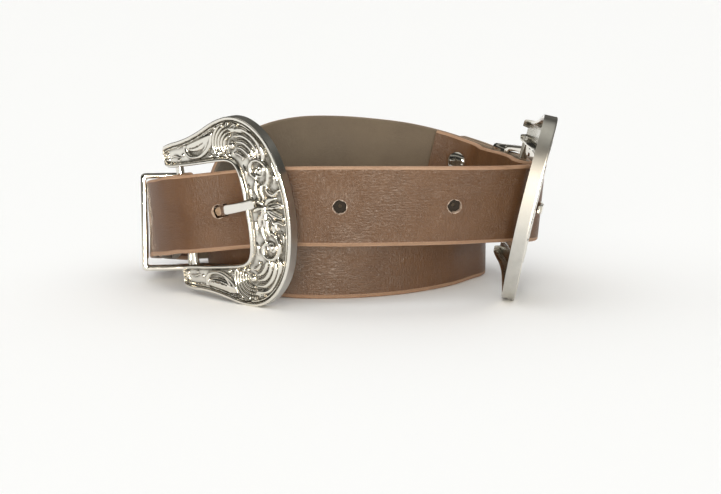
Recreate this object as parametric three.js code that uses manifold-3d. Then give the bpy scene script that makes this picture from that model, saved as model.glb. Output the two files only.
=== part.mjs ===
// A western double buckle belt, closed and standing on its edges: a long strap that goes round twice,
// a short front strap with punched holes, and two cast D shaped buckles that join them.
// Millimetres and degrees. +X is right, +Y is away from the front, +Z is up.
import * as THREE from "three";
import { mergeVertices } from "three/addons/utils/BufferGeometryUtils.js";
import Module from "manifold-3d";

const wasm = await Module();
wasm.setup();

// Driving dimensions of the leather.
const STRAP_WIDTH = 29.3;
const STRAP_THICKNESS = 2.6;
const EDGE_BEVEL = 0.7;
const GAP = 0.3;
const BEND_GAP = 0.5;
const FOLD_LENGTH = 62;
const TAIL_LENGTH = 63;
const TIP_LENGTH = 12;
const TIP_WIDTH = 15;
const STRAP_STEP = 5.4;
const HOLE_DIAMETER = 5;
// Where the plain holes lie along the front strap, measured to the left from the middle of the front.
const FIRST_HOLE_X = -1.8;
const HOLE_PLACES = [-126, -41.2, 0, 90];

// Driving dimensions of the buckles.
const BUCKLE_THICKNESS = 5;
const GROUND_HEIGHT = 1.2;
const BACK_HOLLOW = 2.2;
const PLATE_MIDDLE = 24;
const PLATE_BEND_RADIUS = 130;
const BAR_DIAMETER = 3;
const BAR_PLACE = -0.7;
const BAR_HEIGHT = -1;
const BAR_REACH = 21.4;
const PRONG_WIDTH = 3.6;
const PRONG_THICKNESS = 2.2;
const SLOT_WIDTH = 5.6;

// Driving dimensions of the keepers, and their distances from the bars. outward is how far a keeper's
// middle lies outside the outer ply. It hangs loose: plumb is the share of the strap's slope that it
// leaves out, and roll and yaw are how far it is tilted and turned on the strap.
const KEEPER_WALL = 2.1;
const KEEPER_WIDTH = 9;
const KEEPER_HIGH = 34;
const KEEPERS = {
  left: { place: 29, outward: -2.8, thick: 15.8, plumb: 0.5, roll: 2, yaw: -2 },
  right: { place: 25, outward: 3.2, thick: 10.4, plumb: 0.45, roll: 0, yaw: 0 },
};

// The snaps' distances from the bars, how far they lie over the strap's middle, and their sizes.
const SNAP_PLACE = { left: 54, right: 49 };
const SNAP_RISE = { left: 0, right: 5 };
const SNAP_SHANK_RADIUS = 1.7;
const SNAP_CAP_RADIUS = 3.9;

// The move from the frame of the tables below to the belt's own: the middle of the outer box goes to
// x = 0 and y = 0, and the lowest edge to z = 0.
const PLACE = { x: 1.39, y: -46.8, z: 0.35 };

// Each buckle's seat: the middle of its bar, and how the plate turns, leans out and rolls.
const SEATS = {
  left: seatOf({ x: -61.2, y: 25.7, z: 29.05, yaw: 40, lean: 3.1, roll: 9.2, side: 1 }),
  right: seatOf({ x: 69.4, y: 46.2, z: 35.7, yaw: 87.5, lean: 12, roll: -2.7, side: -1 }),
};

// The main strap's middle line, from the left bar, twice round, to the right bar.
// up is the height of the strap's middle, lean is how far its top edge leans out.
const REST = STRAP_WIDTH / 2 - PLACE.z;
const MAIN_ROUTE = [
  { x: -66.3, y: 32.4, up: 28.3, lean: 3 },
  { x: -70.6, y: 41.5, up: 26.4, lean: 3 },
  { x: -72.6, y: 53, up: 23.6, lean: 2 },
  { x: -71.8, y: 66, up: 20.4, lean: 0 },
  { x: -66.5, y: 81, up: 17.2, lean: 0 },
  { x: -54.5, y: 93.5, up: 15.2, lean: 0 },
  { x: -38, y: 99.6, up: REST, lean: 0 },
  { x: -22, y: 99, up: REST, lean: 0 },
  { x: -6, y: 95.2, up: REST, lean: 0 },
  { x: 10, y: 90.8, up: REST, lean: 0 },
  { x: 24, y: 87.2, up: REST, lean: 0 },
  { x: 36, y: 84, up: REST, lean: 0 },
  { x: 44.6, y: 79, up: REST, lean: 0 },
  { x: 51.2, y: 73.6, up: REST, lean: 0 },
  { x: 55.3, y: 66, up: REST, lean: 0 },
  { x: 54, y: 60, up: REST, lean: 0 },
  { x: 50, y: 54, up: REST, lean: 0 },
  { x: 39.3, y: 39, up: REST, lean: 0 },
  { x: 20.2, y: 24, up: REST, lean: 0 },
  { x: 0, y: 17, up: REST, lean: 0 },
  { x: -18, y: 17.3, up: REST, lean: 0 },
  { x: -33, y: 23, up: 15.4, lean: 0 },
  { x: -46, y: 33, up: 17.8, lean: 0 },
  { x: -51.8, y: 46, up: 21.5, lean: 0 },
  { x: -51.8, y: 60, up: 26.4, lean: 0 },
  { x: -48.5, y: 73, up: 32.3, lean: 0 },
  { x: -41, y: 85, up: 38.6, lean: 0 },
  { x: -30, y: 92.5, up: 43.4, lean: 0 },
  { x: -18.5, y: 96, up: 45.6, lean: 0 },
  { x: -4, y: 97.3, up: 45.8, lean: 0 },
  { x: 10, y: 96.6, up: 44.9, lean: 0 },
  { x: 24, y: 94.6, up: 43.3, lean: 1 },
  { x: 35.5, y: 91.8, up: 41, lean: 2 },
  { x: 46, y: 88.2, up: 38.1, lean: 3 },
  { x: 55, y: 82.5, up: 35.5, lean: 5 },
  { x: 61.5, y: 74.5, up: 34.2, lean: 7 },
  { x: 65.9, y: 65, up: 33.7, lean: 9 },
  { x: 68.4, y: 55, up: 33.4, lean: 11 },
];

// The front strap's middle line between the buckles, from right to left.
const FRONT_ROUTE = [
  { x: 57, y: 9, up: 36.3, lean: 11 },
  { x: 48, y: 5.8, up: 36.5, lean: 9 },
  { x: 38, y: 3.6, up: 36.6, lean: 7 },
  { x: 20, y: 1.6, up: 36.7, lean: 4 },
  { x: 0, y: 1.3, up: 36.6, lean: 0 },
  { x: -10, y: 1.9, up: 36.5, lean: 1 },
  { x: -18, y: 3.2, up: 36.3, lean: 3 },
  { x: -25, y: 5.2, up: 35.8, lean: 4 },
];

// How the front strap passes through a buckle, from the limb to the bar, in the flat plate's frame.
// upright is how far the strap's top edge leans in, against the plate.
const FRONT_IN_LEFT_BUCKLE = [
  { u: 36, w: 0.3, n: -4.4, upright: 0 },
  { u: 29, w: 0.4, n: -3.9, upright: 0 },
  { u: 23, w: 0.6, n: -2.3, upright: 0 },
  { u: 17, w: 0.8, n: 0.5, upright: 0 },
  { u: 11.5, w: 1, n: 3.2, upright: 0 },
  { u: 6, w: 1.1, n: 4.9, upright: 0 },
];
const FRONT_IN_RIGHT_BUCKLE = [
  { u: 7, w: -0.7, n: 5.4, upright: 4 },
  { u: 14, w: -0.2, n: 5, upright: 8 },
  { u: 20, w: 0.2, n: 3.6, upright: 8 },
  { u: 25, w: 0.5, n: 1, upright: 5 },
  { u: 30, w: 0.8, n: -2.2, upright: 2 },
  { u: 34, w: 1, n: -4.4, upright: 0 },
];
const STRAP_ON_BAR = { left: 1.2, right: -2.4 };
// How much higher than the main strap the front strap lies at the bar.
const TAIL_RISE = { left: 0, right: 1.2 };

// The buckle's plate: matching places on its outer and its inner outline, from an arm's end to the
// middle of the limb. The other half is the same, turned over.
const OUTLINE = [
  { outU: -5.3, outW: 24.8, inU: -5.3, inW: 20.6 },
  { outU: -4.6, outW: 26.8, inU: -4.6, inW: 19.2 },
  { outU: 0, outW: 27.8, inU: 0, inW: 18.7 },
  { outU: 6, outW: 28.4, inU: 6, inW: 18.7 },
  { outU: 12, outW: 29.4, inU: 12, inW: 18.8 },
  { outU: 18, outW: 31, inU: 17.5, inW: 18.9 },
  { outU: 24, outW: 33.1, inU: 22.5, inW: 19 },
  { outU: 29, outW: 34.4, inU: 26.5, inW: 19 },
  { outU: 33.5, outW: 34.8, inU: 29.3, inW: 18.8 },
  { outU: 38, outW: 33.8, inU: 31.3, inW: 18.2 },
  { outU: 42.3, outW: 31.3, inU: 32.7, inW: 17.1 },
  { outU: 46, outW: 27.5, inU: 33.6, inW: 15.4 },
  { outU: 49, outW: 22.5, inU: 34.3, inW: 12.8 },
  { outU: 51.3, outW: 15.5, inU: 34.7, inW: 9 },
  { outU: 52.8, outW: 7.5, inU: 34.9, inW: 4.5 },
  { outU: 53.2, outW: 0, inU: 34.9, inW: 0 },
];
const OUTLINE_STEPS = 68;
// Places across the band, from the inner edge to the outer edge, with the height of the plain rims
// there (1 is the rims' full height, 0 the sunk ground) and the depth of the hollow back.
const ACROSS = [
  { place: 0, rim: 0.75, hollow: 0 },
  { place: 0.06, rim: 1, hollow: 0 },
  { place: 0.15, rim: 0.1, hollow: 1 },
  { place: 0.28, rim: 0, hollow: 1 },
  { place: 0.42, rim: 0, hollow: 1 },
  { place: 0.56, rim: 0, hollow: 1 },
  { place: 0.7, rim: 0, hollow: 1 },
  { place: 0.82, rim: 0, hollow: 1 },
  { place: 0.9, rim: 1, hollow: 0 },
  { place: 1, rim: 0.75, hollow: 0 },
];
// The cast relief: leaf scrolls as arcs of a ridge round a centre, and lobes and petals as domes.
const RIDGES = [
  { u: 33, w: 25, radius: 2.2, from: 0, to: 360, wide: 1.6, high: 1.2 },
  { u: 34, w: 25, radius: 6.8, from: 100, to: 250, wide: 2, high: 1 },
  { u: 36, w: 23, radius: 9, from: -20, to: 110, wide: 2.4, high: 1.2 },
  { u: 42.5, w: 14, radius: 2.6, from: 0, to: 360, wide: 1.8, high: 1.1 },
  { u: 36, w: 8, radius: 9, from: -20, to: 50, wide: 1.8, high: 0.9 },
];
const DOMES = [
  { u: 15, w: 25, longU: 7, longW: 3.6, high: 1.2 },
  { u: 2, w: 23.6, longU: 5, longW: 3, high: 0.7 },
  { u: 47.5, w: 22.5, longU: 2.2, longW: 4, high: 1 },
  { u: 43.5, w: 0, longU: 2, longW: 2, high: 1.2 },
  { u: 48, w: 0, longU: 3, longW: 1.7, high: 1 },
  { u: 45.5, w: 5, longU: 2, longW: 3, high: 1 },
  { u: 40.5, w: 3.6, longU: 2, longW: 2.2, high: 0.8 },
];

// How far apart the middles of the two plies of each fold are, from the bar to the folded end. The
// left keeper goes round both plies, and the right keeper's inner wall lies between them.
const FOLD_APART = {
  left: [
    { place: 0, apart: 6.6 },
    { place: 24, apart: 6.6 },
    { place: 35, apart: 6.2 },
    { place: 42, apart: 4.5 },
    { place: 48, apart: 3.1 },
    { place: 70, apart: 3.1 },
  ],
  right: [
    { place: 0, apart: 6.6 },
    { place: 16, apart: 6.6 },
    { place: 24, apart: 6.8 },
    { place: 34, apart: 6.5 },
    { place: 43, apart: 3.1 },
    { place: 70, apart: 3.1 },
  ],
};

// The prong's middle line from its eye to its tip, how it swings on each bar, and the place where it
// passes the front strap.
const PRONG_LINE = [
  { u: 1.2, n: -2.7 },
  { u: 9, n: -2.6 },
  { u: 14, n: -2.2 },
  { u: 19.5, n: -0.7 },
  { u: 26, n: 2.1 },
  { u: 31, n: 3.7 },
  { u: 35, n: 4.1 },
  { u: 40.5, n: 3.7 },
];
const PRONG_SWING = { left: { w: -1.2, perU: 0.098 }, right: { w: -1.4, perU: 0.075 } };
const PRONG_CROSSING = {
  left: { u: 19.4, w: 0.7, n: -0.7, tilt: 20 },
  right: { u: 24.3, w: 0.4, n: 1.4, tilt: 23 },
};

// The seat of a buckle as an origin and three directions: u from the bar to the limb, w up the plate,
// n out of its face.
function seatOf({ x, y, z, yaw, lean, roll, side }) {
  const rad = THREE.MathUtils.degToRad;
  const up = new THREE.Vector3(0, 0, 1);
  const along = new THREE.Vector3(side * Math.cos(rad(yaw)), -Math.sin(rad(yaw)), 0);
  const out = new THREE.Vector3(-side * Math.sin(rad(yaw)), -Math.cos(rad(yaw)), 0);
  const u = along.clone().multiplyScalar(Math.cos(rad(roll))).addScaledVector(up, Math.sin(rad(roll)));
  const rolled = up.clone().multiplyScalar(Math.cos(rad(roll))).addScaledVector(along, -Math.sin(rad(roll)));
  const w = rolled.clone().multiplyScalar(Math.cos(rad(lean))).addScaledVector(out, Math.sin(rad(lean)));
  const n = out.clone().multiplyScalar(Math.cos(rad(lean))).addScaledVector(rolled, -Math.sin(rad(lean)));
  return { origin: new THREE.Vector3(x, y, z), u, w, n, side };
}

// The plate is cast with a gentle curve, so a flat place (u, n) is rolled round a large radius.
function bend(u, n) {
  const angle = (u - PLATE_MIDDLE) / PLATE_BEND_RADIUS;
  return {
    u: PLATE_MIDDLE + (PLATE_BEND_RADIUS + n) * Math.sin(angle),
    n: (PLATE_BEND_RADIUS + n) * Math.cos(angle) - PLATE_BEND_RADIUS,
  };
}

// A place of the flat plate's frame, as a point of the belt's frame.
function onSeat(seat, u, w, n) {
  const bent = bend(u, n);
  return seat.origin
    .clone()
    .addScaledVector(seat.u, bent.u)
    .addScaledVector(seat.w, w)
    .addScaledVector(seat.n, bent.n);
}

// The same casting fits both ends: on the right it is turned half round, so its own w points down.
function seatGeometry(geometry, seat, swing = { w: 0, perU: 0 }) {
  const position = geometry.getAttribute("position");
  for (let i = 0; i < position.count; i++) {
    const u = position.getX(i);
    const w = position.getY(i) * seat.side + swing.w + swing.perU * u;
    const point = onSeat(seat, u, w, position.getZ(i));
    position.setXYZ(i, point.x, point.y, point.z);
  }
  return geometry;
}

// Closed geometry from a grid of points: rings follow each other, and each ring is a closed loop.
function loft(rings) {
  const size = rings[0].length;
  const points = rings.flat();
  const faces = [];
  for (let r = 0; r + 1 < rings.length; r++) {
    for (let i = 0; i < size; i++) {
      const a = r * size + i;
      const b = r * size + ((i + 1) % size);
      faces.push(a, b, b + size, a, b + size, a + size);
    }
  }
  const last = (rings.length - 1) * size;
  for (let i = 1; i + 1 < size; i++) {
    faces.push(0, i + 1, i);
    faces.push(last, last + i, last + i + 1);
  }
  const geometry = new THREE.BufferGeometry().setFromPoints(points);
  geometry.setIndex(faces);
  return geometry;
}

function solidOf(geometry) {
  const bare = geometry.clone();
  bare.deleteAttribute("normal");
  bare.deleteAttribute("uv");
  const merged = mergeVertices(bare, 1e-4);
  return new wasm.Manifold(
    new wasm.Mesh({
      numProp: 3,
      vertProperties: merged.getAttribute("position").array,
      triVerts: new Uint32Array(merged.index.array),
    }),
  );
}

function geometryOf(solid) {
  const mesh = solid.getMesh();
  const geometry = new THREE.BufferGeometry();
  geometry.setAttribute("position", new THREE.BufferAttribute(mesh.vertProperties, 3));
  geometry.setIndex(new THREE.BufferAttribute(mesh.triVerts, 1));
  return geometry;
}

// A round pin from one point to another.
function pin(from, to, radius, sides) {
  const length = from.distanceTo(to);
  const geometry = new THREE.CylinderGeometry(radius, radius, length, sides);
  const turn = new THREE.Quaternion().setFromUnitVectors(
    new THREE.Vector3(0, 1, 0),
    to.clone().sub(from).normalize(),
  );
  geometry.applyQuaternion(turn);
  const middle = from.clone().add(to).multiplyScalar(0.5);
  return geometry.translate(middle.x, middle.y, middle.z);
}

// The frames of a strap along a list of stops: the point, and across its thickness and its width.
function framesAlong(stops) {
  return stops.map((stop, i) => {
    const before = stops[Math.max(i - 1, 0)].point;
    const after = stops[Math.min(i + 1, stops.length - 1)].point;
    const ahead = after.clone().sub(before).normalize();
    const wide = stop.wide.clone().addScaledVector(ahead, -stop.wide.dot(ahead)).normalize();
    const out = wide.clone().cross(ahead);
    return { point: stop.point, ahead, wide, out };
  });
}

// Even steps along a smooth curve through the stops.
function evenStops(stops, step) {
  const curve = new THREE.CatmullRomCurve3(stops.map((s) => s.point), false, "centripetal");
  const perSpan = 12;
  const fine = [];
  for (let i = 0; i <= (stops.length - 1) * perSpan; i++) {
    const place = Math.min(i / perSpan, stops.length - 1);
    const span = Math.min(Math.floor(place), stops.length - 2);
    const point = curve.getPoint(place / (stops.length - 1));
    const wide = stops[span].wide.clone().lerp(stops[span + 1].wide, place - span).normalize();
    const gone = i === 0 ? 0 : fine[i - 1].gone + point.distanceTo(fine[i - 1].point);
    fine.push({ point, wide, gone });
  }
  const total = fine[fine.length - 1].gone;
  const count = Math.round(total / step);
  const even = [];
  let k = 0;
  for (let i = 0; i <= count; i++) {
    const goal = (total * i) / count;
    while (k < fine.length - 2 && fine[k + 1].gone < goal) k += 1;
    const part = (goal - fine[k].gone) / (fine[k + 1].gone - fine[k].gone);
    const point = fine[k].point.clone().lerp(fine[k + 1].point, part);
    const wide = fine[k].wide.clone().lerp(fine[k + 1].wide, part).normalize();
    even.push({ point, wide, gone: goal });
  }
  return even;
}

// Table rows as stops: the width stands up and leans out, square to the way the strap runs.
function stopsOf(rows) {
  return rows.map((row, i) => {
    const before = rows[Math.max(i - 1, 0)];
    const after = rows[Math.min(i + 1, rows.length - 1)];
    const ahead = new THREE.Vector3(after.x - before.x, after.y - before.y, 0).normalize();
    const out = new THREE.Vector3(0, 0, 1).cross(ahead);
    const lean = THREE.MathUtils.degToRad(row.lean);
    const wide = new THREE.Vector3(0, 0, Math.cos(lean)).addScaledVector(out, Math.sin(lean));
    return { point: new THREE.Vector3(row.x, row.y, row.up), wide };
  });
}

function localStops(seat, rows) {
  return rows.map(({ u, w, n, upright }) => {
    const back = Math.tan(THREE.MathUtils.degToRad(upright));
    const wide = seat.w.clone().addScaledVector(seat.n, -back).normalize();
    return { point: onSeat(seat, u, w, n), wide };
  });
}

// A value of a table with named columns, read between its rows.
function readTable(rows, at, from, to) {
  let i = 0;
  while (i < rows.length - 2 && rows[i + 1][from] < at) i += 1;
  const part = (at - rows[i][from]) / (rows[i + 1][from] - rows[i][from]);
  return rows[i][to] + (rows[i + 1][to] - rows[i][to]) * part;
}

// The distance along a line at which it comes nearest to a point.
function nearestPlace(line, point) {
  let best = { gone: 0, far: Infinity };
  for (let i = 0; i + 1 < line.length; i++) {
    const span = new THREE.Line3(line[i].point, line[i + 1].point);
    const part = span.closestPointToPointParameter(point, true);
    const far = span.at(part, new THREE.Vector3()).distanceTo(point);
    const gone = line[i].gone + (line[i + 1].gone - line[i].gone) * part;
    if (far < best.far) best = { gone, far };
  }
  return best.gone;
}

// A frame of an evenly stepped line at a given distance from its start.
function frameAt(frames, line, distance) {
  let i = 0;
  while (i < line.length - 2 && line[i + 1].gone < distance) i += 1;
  const part = (distance - line[i].gone) / (line[i + 1].gone - line[i].gone);
  const mix = (name) => frames[i][name].clone().lerp(frames[i + 1][name], part);
  return {
    point: mix("point"),
    ahead: mix("ahead").normalize(),
    wide: mix("wide").normalize(),
    out: mix("out").normalize(),
  };
}

// A strap's section: flat faces with bevelled edges. scale narrows it towards a tip.
function strapSection(frame, width) {
  const w = width / 2;
  const t = STRAP_THICKNESS / 2;
  const b = EDGE_BEVEL;
  const corners = [
    [-t, -w + b],
    [-t + b, -w],
    [t - b, -w],
    [t, -w + b],
    [t, w - b],
    [t - b, w],
    [-t + b, w],
    [-t, w - b],
  ];
  return corners.map(([across, up]) =>
    frame.point.clone().addScaledVector(frame.out, across).addScaledVector(frame.wide, up),
  );
}

function strapGeometry(stops, widthAt) {
  const frames = framesAlong(stops);
  return loft(frames.map((frame, i) => strapSection(frame, widthAt(i))));
}

// A prism across the plate, from an outline in the plate's (u, n) plane.
function acrossPlate(outline, width) {
  const shape = new THREE.Shape(outline.map(({ u, n }) => new THREE.Vector2(u, n)));
  const geometry = new THREE.ExtrudeGeometry(shape, { depth: width, bevelEnabled: false });
  geometry.translate(0, 0, -width / 2);
  return geometry.rotateX(Math.PI / 2);
}

// The outline on each side of a middle line.
function thicken(line, halfAt) {
  const sides = line.map((place, i) => {
    const before = line[Math.max(i - 1, 0)];
    const after = line[Math.min(i + 1, line.length - 1)];
    const length = Math.hypot(after.u - before.u, after.n - before.n);
    const half = halfAt(i / (line.length - 1));
    const du = (-(after.n - before.n) / length) * half;
    const dn = ((after.u - before.u) / length) * half;
    return [
      { u: place.u - du, n: place.n - dn },
      { u: place.u + du, n: place.n + dn },
    ];
  });
  return [...sides.map((s) => s[0]), ...sides.map((s) => s[1]).reverse()];
}

const smooth = (x) => {
  const t = THREE.MathUtils.clamp(x, 0, 1);
  return t * t * (3 - 2 * t);
};

// Height of the relief over the sunk ground at a place of the plate. Both halves are alike.
function reliefAt(u, w) {
  const high = Math.abs(w);
  let best = 0;
  for (const ridge of RIDGES) {
    const du = u - ridge.u;
    const dw = high - ridge.w;
    let angle = THREE.MathUtils.radToDeg(Math.atan2(dw, du));
    if (angle < ridge.from) angle += 360;
    if (angle > ridge.to) continue;
    const off = Math.abs(Math.hypot(du, dw) - ridge.radius) / ridge.wide;
    best = Math.max(best, ridge.high * (1 - smooth(off)));
  }
  for (const dome of DOMES) {
    const off = Math.hypot((u - dome.u) / dome.longU, (high - dome.w) / dome.longW);
    best = Math.max(best, dome.high * (1 - smooth(off - 0.1)));
  }
  return best;
}

// The two outlines of the whole plate as smooth curves from the upper arm's end to the lower one's.
function plateOutlines() {
  const upper = OUTLINE;
  const lower = OUTLINE.slice(0, -1).reverse();
  const curveOf = (u, w) =>
    new THREE.CatmullRomCurve3(
      [
        ...upper.map((row) => new THREE.Vector3(row[u], row[w], 0)),
        ...lower.map((row) => new THREE.Vector3(row[u], -row[w], 0)),
      ],
      false,
      "catmullrom",
      0.5,
    );
  return { outer: curveOf("outU", "outW"), inner: curveOf("inU", "inW") };
}

function buckleFrame(seat) {
  const { outer, inner } = plateOutlines();
  const top = BUCKLE_THICKNESS / 2;
  const rings = [];
  for (let i = OUTLINE_STEPS; i >= 0; i--) {
    const outside = outer.getPoint(i / OUTLINE_STEPS);
    const inside = inner.getPoint(i / OUTLINE_STEPS);
    const face = [];
    const back = [];
    for (const { place, rim, hollow } of ACROSS) {
      const spot = inside.clone().lerp(outside, place);
      const ground = GROUND_HEIGHT + (top - GROUND_HEIGHT) * rim;
      const relief = rim < 0.5 ? GROUND_HEIGHT + reliefAt(spot.x, spot.y) : 0;
      face.push(new THREE.Vector3(spot.x, spot.y, Math.max(ground, relief)));
      back.push(new THREE.Vector3(spot.x, spot.y, -top + BACK_HOLLOW * hollow));
    }
    rings.push([...face, ...back.reverse()]);
  }
  const bar = pin(
    new THREE.Vector3(BAR_PLACE, -BAR_REACH, BAR_HEIGHT),
    new THREE.Vector3(BAR_PLACE, BAR_REACH, BAR_HEIGHT),
    BAR_DIAMETER / 2,
    12,
  );
  return seatGeometry(geometryOf(solidOf(loft(rings)).add(solidOf(bar))), seat);
}

// The prong is a flat tongue with an eye that is bent round the bar.
function prong(side) {
  const eyeRadius = BAR_DIAMETER / 2 + GAP + 1.7;
  const eye = pin(
    new THREE.Vector3(BAR_PLACE, -PRONG_WIDTH / 2, BAR_HEIGHT),
    new THREE.Vector3(BAR_PLACE, PRONG_WIDTH / 2, BAR_HEIGHT),
    eyeRadius,
    14,
  );
  const bore = pin(
    new THREE.Vector3(BAR_PLACE, -PRONG_WIDTH, BAR_HEIGHT),
    new THREE.Vector3(BAR_PLACE, PRONG_WIDTH, BAR_HEIGHT),
    BAR_DIAMETER / 2 + GAP + 0.05,
    12,
  );
  const curve = new THREE.CatmullRomCurve3(PRONG_LINE.map(({ u, n }) => new THREE.Vector3(u, n, 0)));
  const line = curve.getPoints(16).map((p) => ({ u: p.x, n: p.y }));
  const half = (part) => (PRONG_THICKNESS / 2) * (1 - 0.35 * smooth((part - 0.75) / 0.25));
  const tongue = acrossPlate(thicken(line, half), PRONG_WIDTH);
  const solid = solidOf(eye).add(solidOf(tongue)).subtract(solidOf(bore));
  return seatGeometry(geometryOf(solid), SEATS[side], PRONG_SWING[side]);
}

// The room that the prong needs where it passes through the front strap.
function prongRoom(side) {
  const { u, n, tilt } = PRONG_CROSSING[side];
  const room = new THREE.BoxGeometry(12, PRONG_WIDTH + 1, PRONG_THICKNESS + 2 * BEND_GAP);
  room.rotateY(-THREE.MathUtils.degToRad(tilt));
  room.translate(u, 0, n);
  return solidOf(seatGeometry(room, SEATS[side], PRONG_SWING[side]));
}

// The slot that the prong's eye turns in, through the fold of the main strap.
function eyeSlot(side) {
  const slot = new THREE.BoxGeometry(20, SLOT_WIDTH, 16);
  slot.translate(1, 0, 0);
  return solidOf(seatGeometry(slot, SEATS[side], { w: PRONG_SWING[side].w, perU: 0 }));
}

// A keeper is a strip of metal bent into a rectangle. It hangs on the strap's upper edge.
function keeper(side) {
  const { place, outward, thick, plumb, roll, yaw } = KEEPERS[side];
  const frame = fromBar(side, place);
  const rounded = (width, height, radius) => {
    const shape = new THREE.Shape();
    shape.moveTo(width / 2 - radius, -height / 2);
    shape.absarc(width / 2 - radius, -height / 2 + radius, radius, -Math.PI / 2, 0, false);
    shape.absarc(width / 2 - radius, height / 2 - radius, radius, 0, Math.PI / 2, false);
    shape.absarc(-width / 2 + radius, height / 2 - radius, radius, Math.PI / 2, Math.PI, false);
    shape.absarc(-width / 2 + radius, -height / 2 + radius, radius, Math.PI, 1.5 * Math.PI, false);
    shape.closePath();
    return shape;
  };
  const ring = rounded(thick + 2 * KEEPER_WALL, KEEPER_HIGH + 2 * KEEPER_WALL, 1.4);
  ring.holes.push(rounded(thick, KEEPER_HIGH, 0.6));
  const geometry = new THREE.ExtrudeGeometry(ring, {
    depth: KEEPER_WIDTH,
    bevelEnabled: false,
    curveSegments: 3,
  });
  const rad = THREE.MathUtils.degToRad;
  const slope = plumb * Math.asin(frame.wide.clone().cross(frame.out).z);
  const tilted = (KEEPER_WIDTH / 2) * Math.abs(Math.tan(slope)) + (thick / 2) * Math.abs(Math.tan(rad(roll)));
  const rise = STRAP_WIDTH / 2 / Math.cos(slope) + tilted + GAP + 0.15;
  geometry.translate(0, rise - KEEPER_HIGH / 2, -KEEPER_WIDTH / 2);
  geometry.rotateZ(rad(roll)).rotateX(-slope).rotateY(rad(yaw)).translate(outward, 0, 0);
  const turn = new THREE.Matrix4().makeBasis(frame.out, frame.wide, frame.out.clone().cross(frame.wide));
  turn.setPosition(frame.point);
  return geometry.applyMatrix4(turn);
}

// Where a snap lies on the strap.
function snapFrame(side) {
  const frame = fromBar(side, SNAP_PLACE[side]);
  frame.point.addScaledVector(frame.wide, SNAP_RISE[side]);
  return frame;
}

// A press snap: a shank through both plies, a ringed cap inside and a domed cap outside.
function snap(frame) {
  const inside = -(1.5 * STRAP_THICKNESS + 3 * BEND_GAP);
  const outside = STRAP_THICKNESS / 2 + GAP;
  const r = SNAP_CAP_RADIUS;
  const profile = [
    [0, inside - 0.5],
    [r * 0.45, inside - 0.5],
    [r * 0.6, inside - 1.3],
    [r * 0.85, inside - 1.3],
    [r, inside - 0.7],
    [r, inside],
    [SNAP_SHANK_RADIUS, inside],
    [SNAP_SHANK_RADIUS, outside],
    [r, outside],
    [r, outside + 0.4],
    [r * 0.7, outside + 0.9],
    [0, outside + 1.1],
  ].map(([radius, out]) => new THREE.Vector2(radius, out));
  const geometry = new THREE.LatheGeometry(profile, 14);
  const turn = new THREE.Matrix4().makeBasis(frame.ahead, frame.out, frame.wide);
  turn.setPosition(frame.point);
  return geometry.applyMatrix4(turn);
}

// A round hole punched square to the strap.
function punch(frame, diameter, reach) {
  const from = frame.point.clone().addScaledVector(frame.out, -reach);
  const to = frame.point.clone().addScaledVector(frame.out, reach);
  return solidOf(pin(from, to, diameter / 2, 12));
}

// The main strap's outer ply: from the left bar to the right bar, never lower than the floor lets it.
const wrapRadius = BAR_DIAMETER / 2 + BEND_GAP + STRAP_THICKNESS / 2;
const onBar = (side, n) => ({
  point: onSeat(SEATS[side], BAR_PLACE, STRAP_ON_BAR[side], n),
  wide: SEATS[side].w.clone(),
});
const mainLine = evenStops(
  [onBar("left", BAR_HEIGHT + wrapRadius), ...stopsOf(MAIN_ROUTE), onBar("right", BAR_HEIGHT + wrapRadius)],
  STRAP_STEP,
);
for (const stop of mainLine) stop.point.z = Math.max(stop.point.z, REST);
const mainFrames = framesAlong(mainLine);
const mainLength = mainLine[mainLine.length - 1].gone;
const fromBar = (side, distance) =>
  frameAt(mainFrames, mainLine, side === "left" ? distance : mainLength - distance);

// The ply that is folded back inside: it leaves the bar and closes up to the outer ply.
function innerPly(side) {
  const count = Math.round(FOLD_LENGTH / STRAP_STEP);
  const stops = [];
  for (let i = 1; i <= count; i++) {
    const distance = (FOLD_LENGTH * i) / count;
    const frame = fromBar(side, distance);
    const apart = readTable(FOLD_APART[side], distance, "place", "apart");
    stops.push({ point: frame.point.clone().addScaledVector(frame.out, -apart), wide: frame.wide });
  }
  return stops;
}

// The half turn of the fold round the bar, from the outer ply to the inner ply.
function turnOnBar(side) {
  const seat = SEATS[side];
  const centre = onBar(side, BAR_HEIGHT).point;
  const out = onBar(side, BAR_HEIGHT + 1).point.sub(centre).normalize();
  const along = out.clone().cross(seat.w).normalize();
  if (along.dot(seat.u) < 0) along.negate();
  const stops = [];
  for (let degrees = 30; degrees <= 180; degrees += 30) {
    const angle = THREE.MathUtils.degToRad(degrees);
    const point = centre
      .clone()
      .addScaledVector(out, wrapRadius * Math.cos(angle))
      .addScaledVector(along, wrapRadius * Math.sin(angle));
    stops.push({ point, wide: seat.w.clone() });
  }
  return stops;
}

function mainStrap() {
  const left = [...turnOnBar("left"), ...innerPly("left")].reverse();
  const right = [...turnOnBar("right"), ...innerPly("right")];
  const stops = [...left, ...mainLine, ...right];
  let solid = solidOf(strapGeometry(stops, () => STRAP_WIDTH));
  for (const side of ["left", "right"]) {
    solid = solid.subtract(eyeSlot(side));
    const hole = punch(snapFrame(side), 2 * SNAP_SHANK_RADIUS + 2 * GAP, 9);
    solid = solid.subtract(hole);
  }
  return geometryOf(solid);
}

// The front strap's ends lie on the main strap, through the keepers and past the snaps.
function tail(side) {
  const stops = [];
  for (let distance = 0; distance <= TAIL_LENGTH; distance += 7) {
    const frame = fromBar(side, distance);
    const away = STRAP_THICKNESS + BEND_GAP + 1.9 * smooth((distance - 34) / 10);
    const rise = TAIL_RISE[side] * (1 - smooth(distance / 18));
    const point = frame.point.clone().addScaledVector(frame.out, away).addScaledVector(frame.wide, rise);
    stops.push({ point, wide: frame.wide });
  }
  return stops;
}

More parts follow.
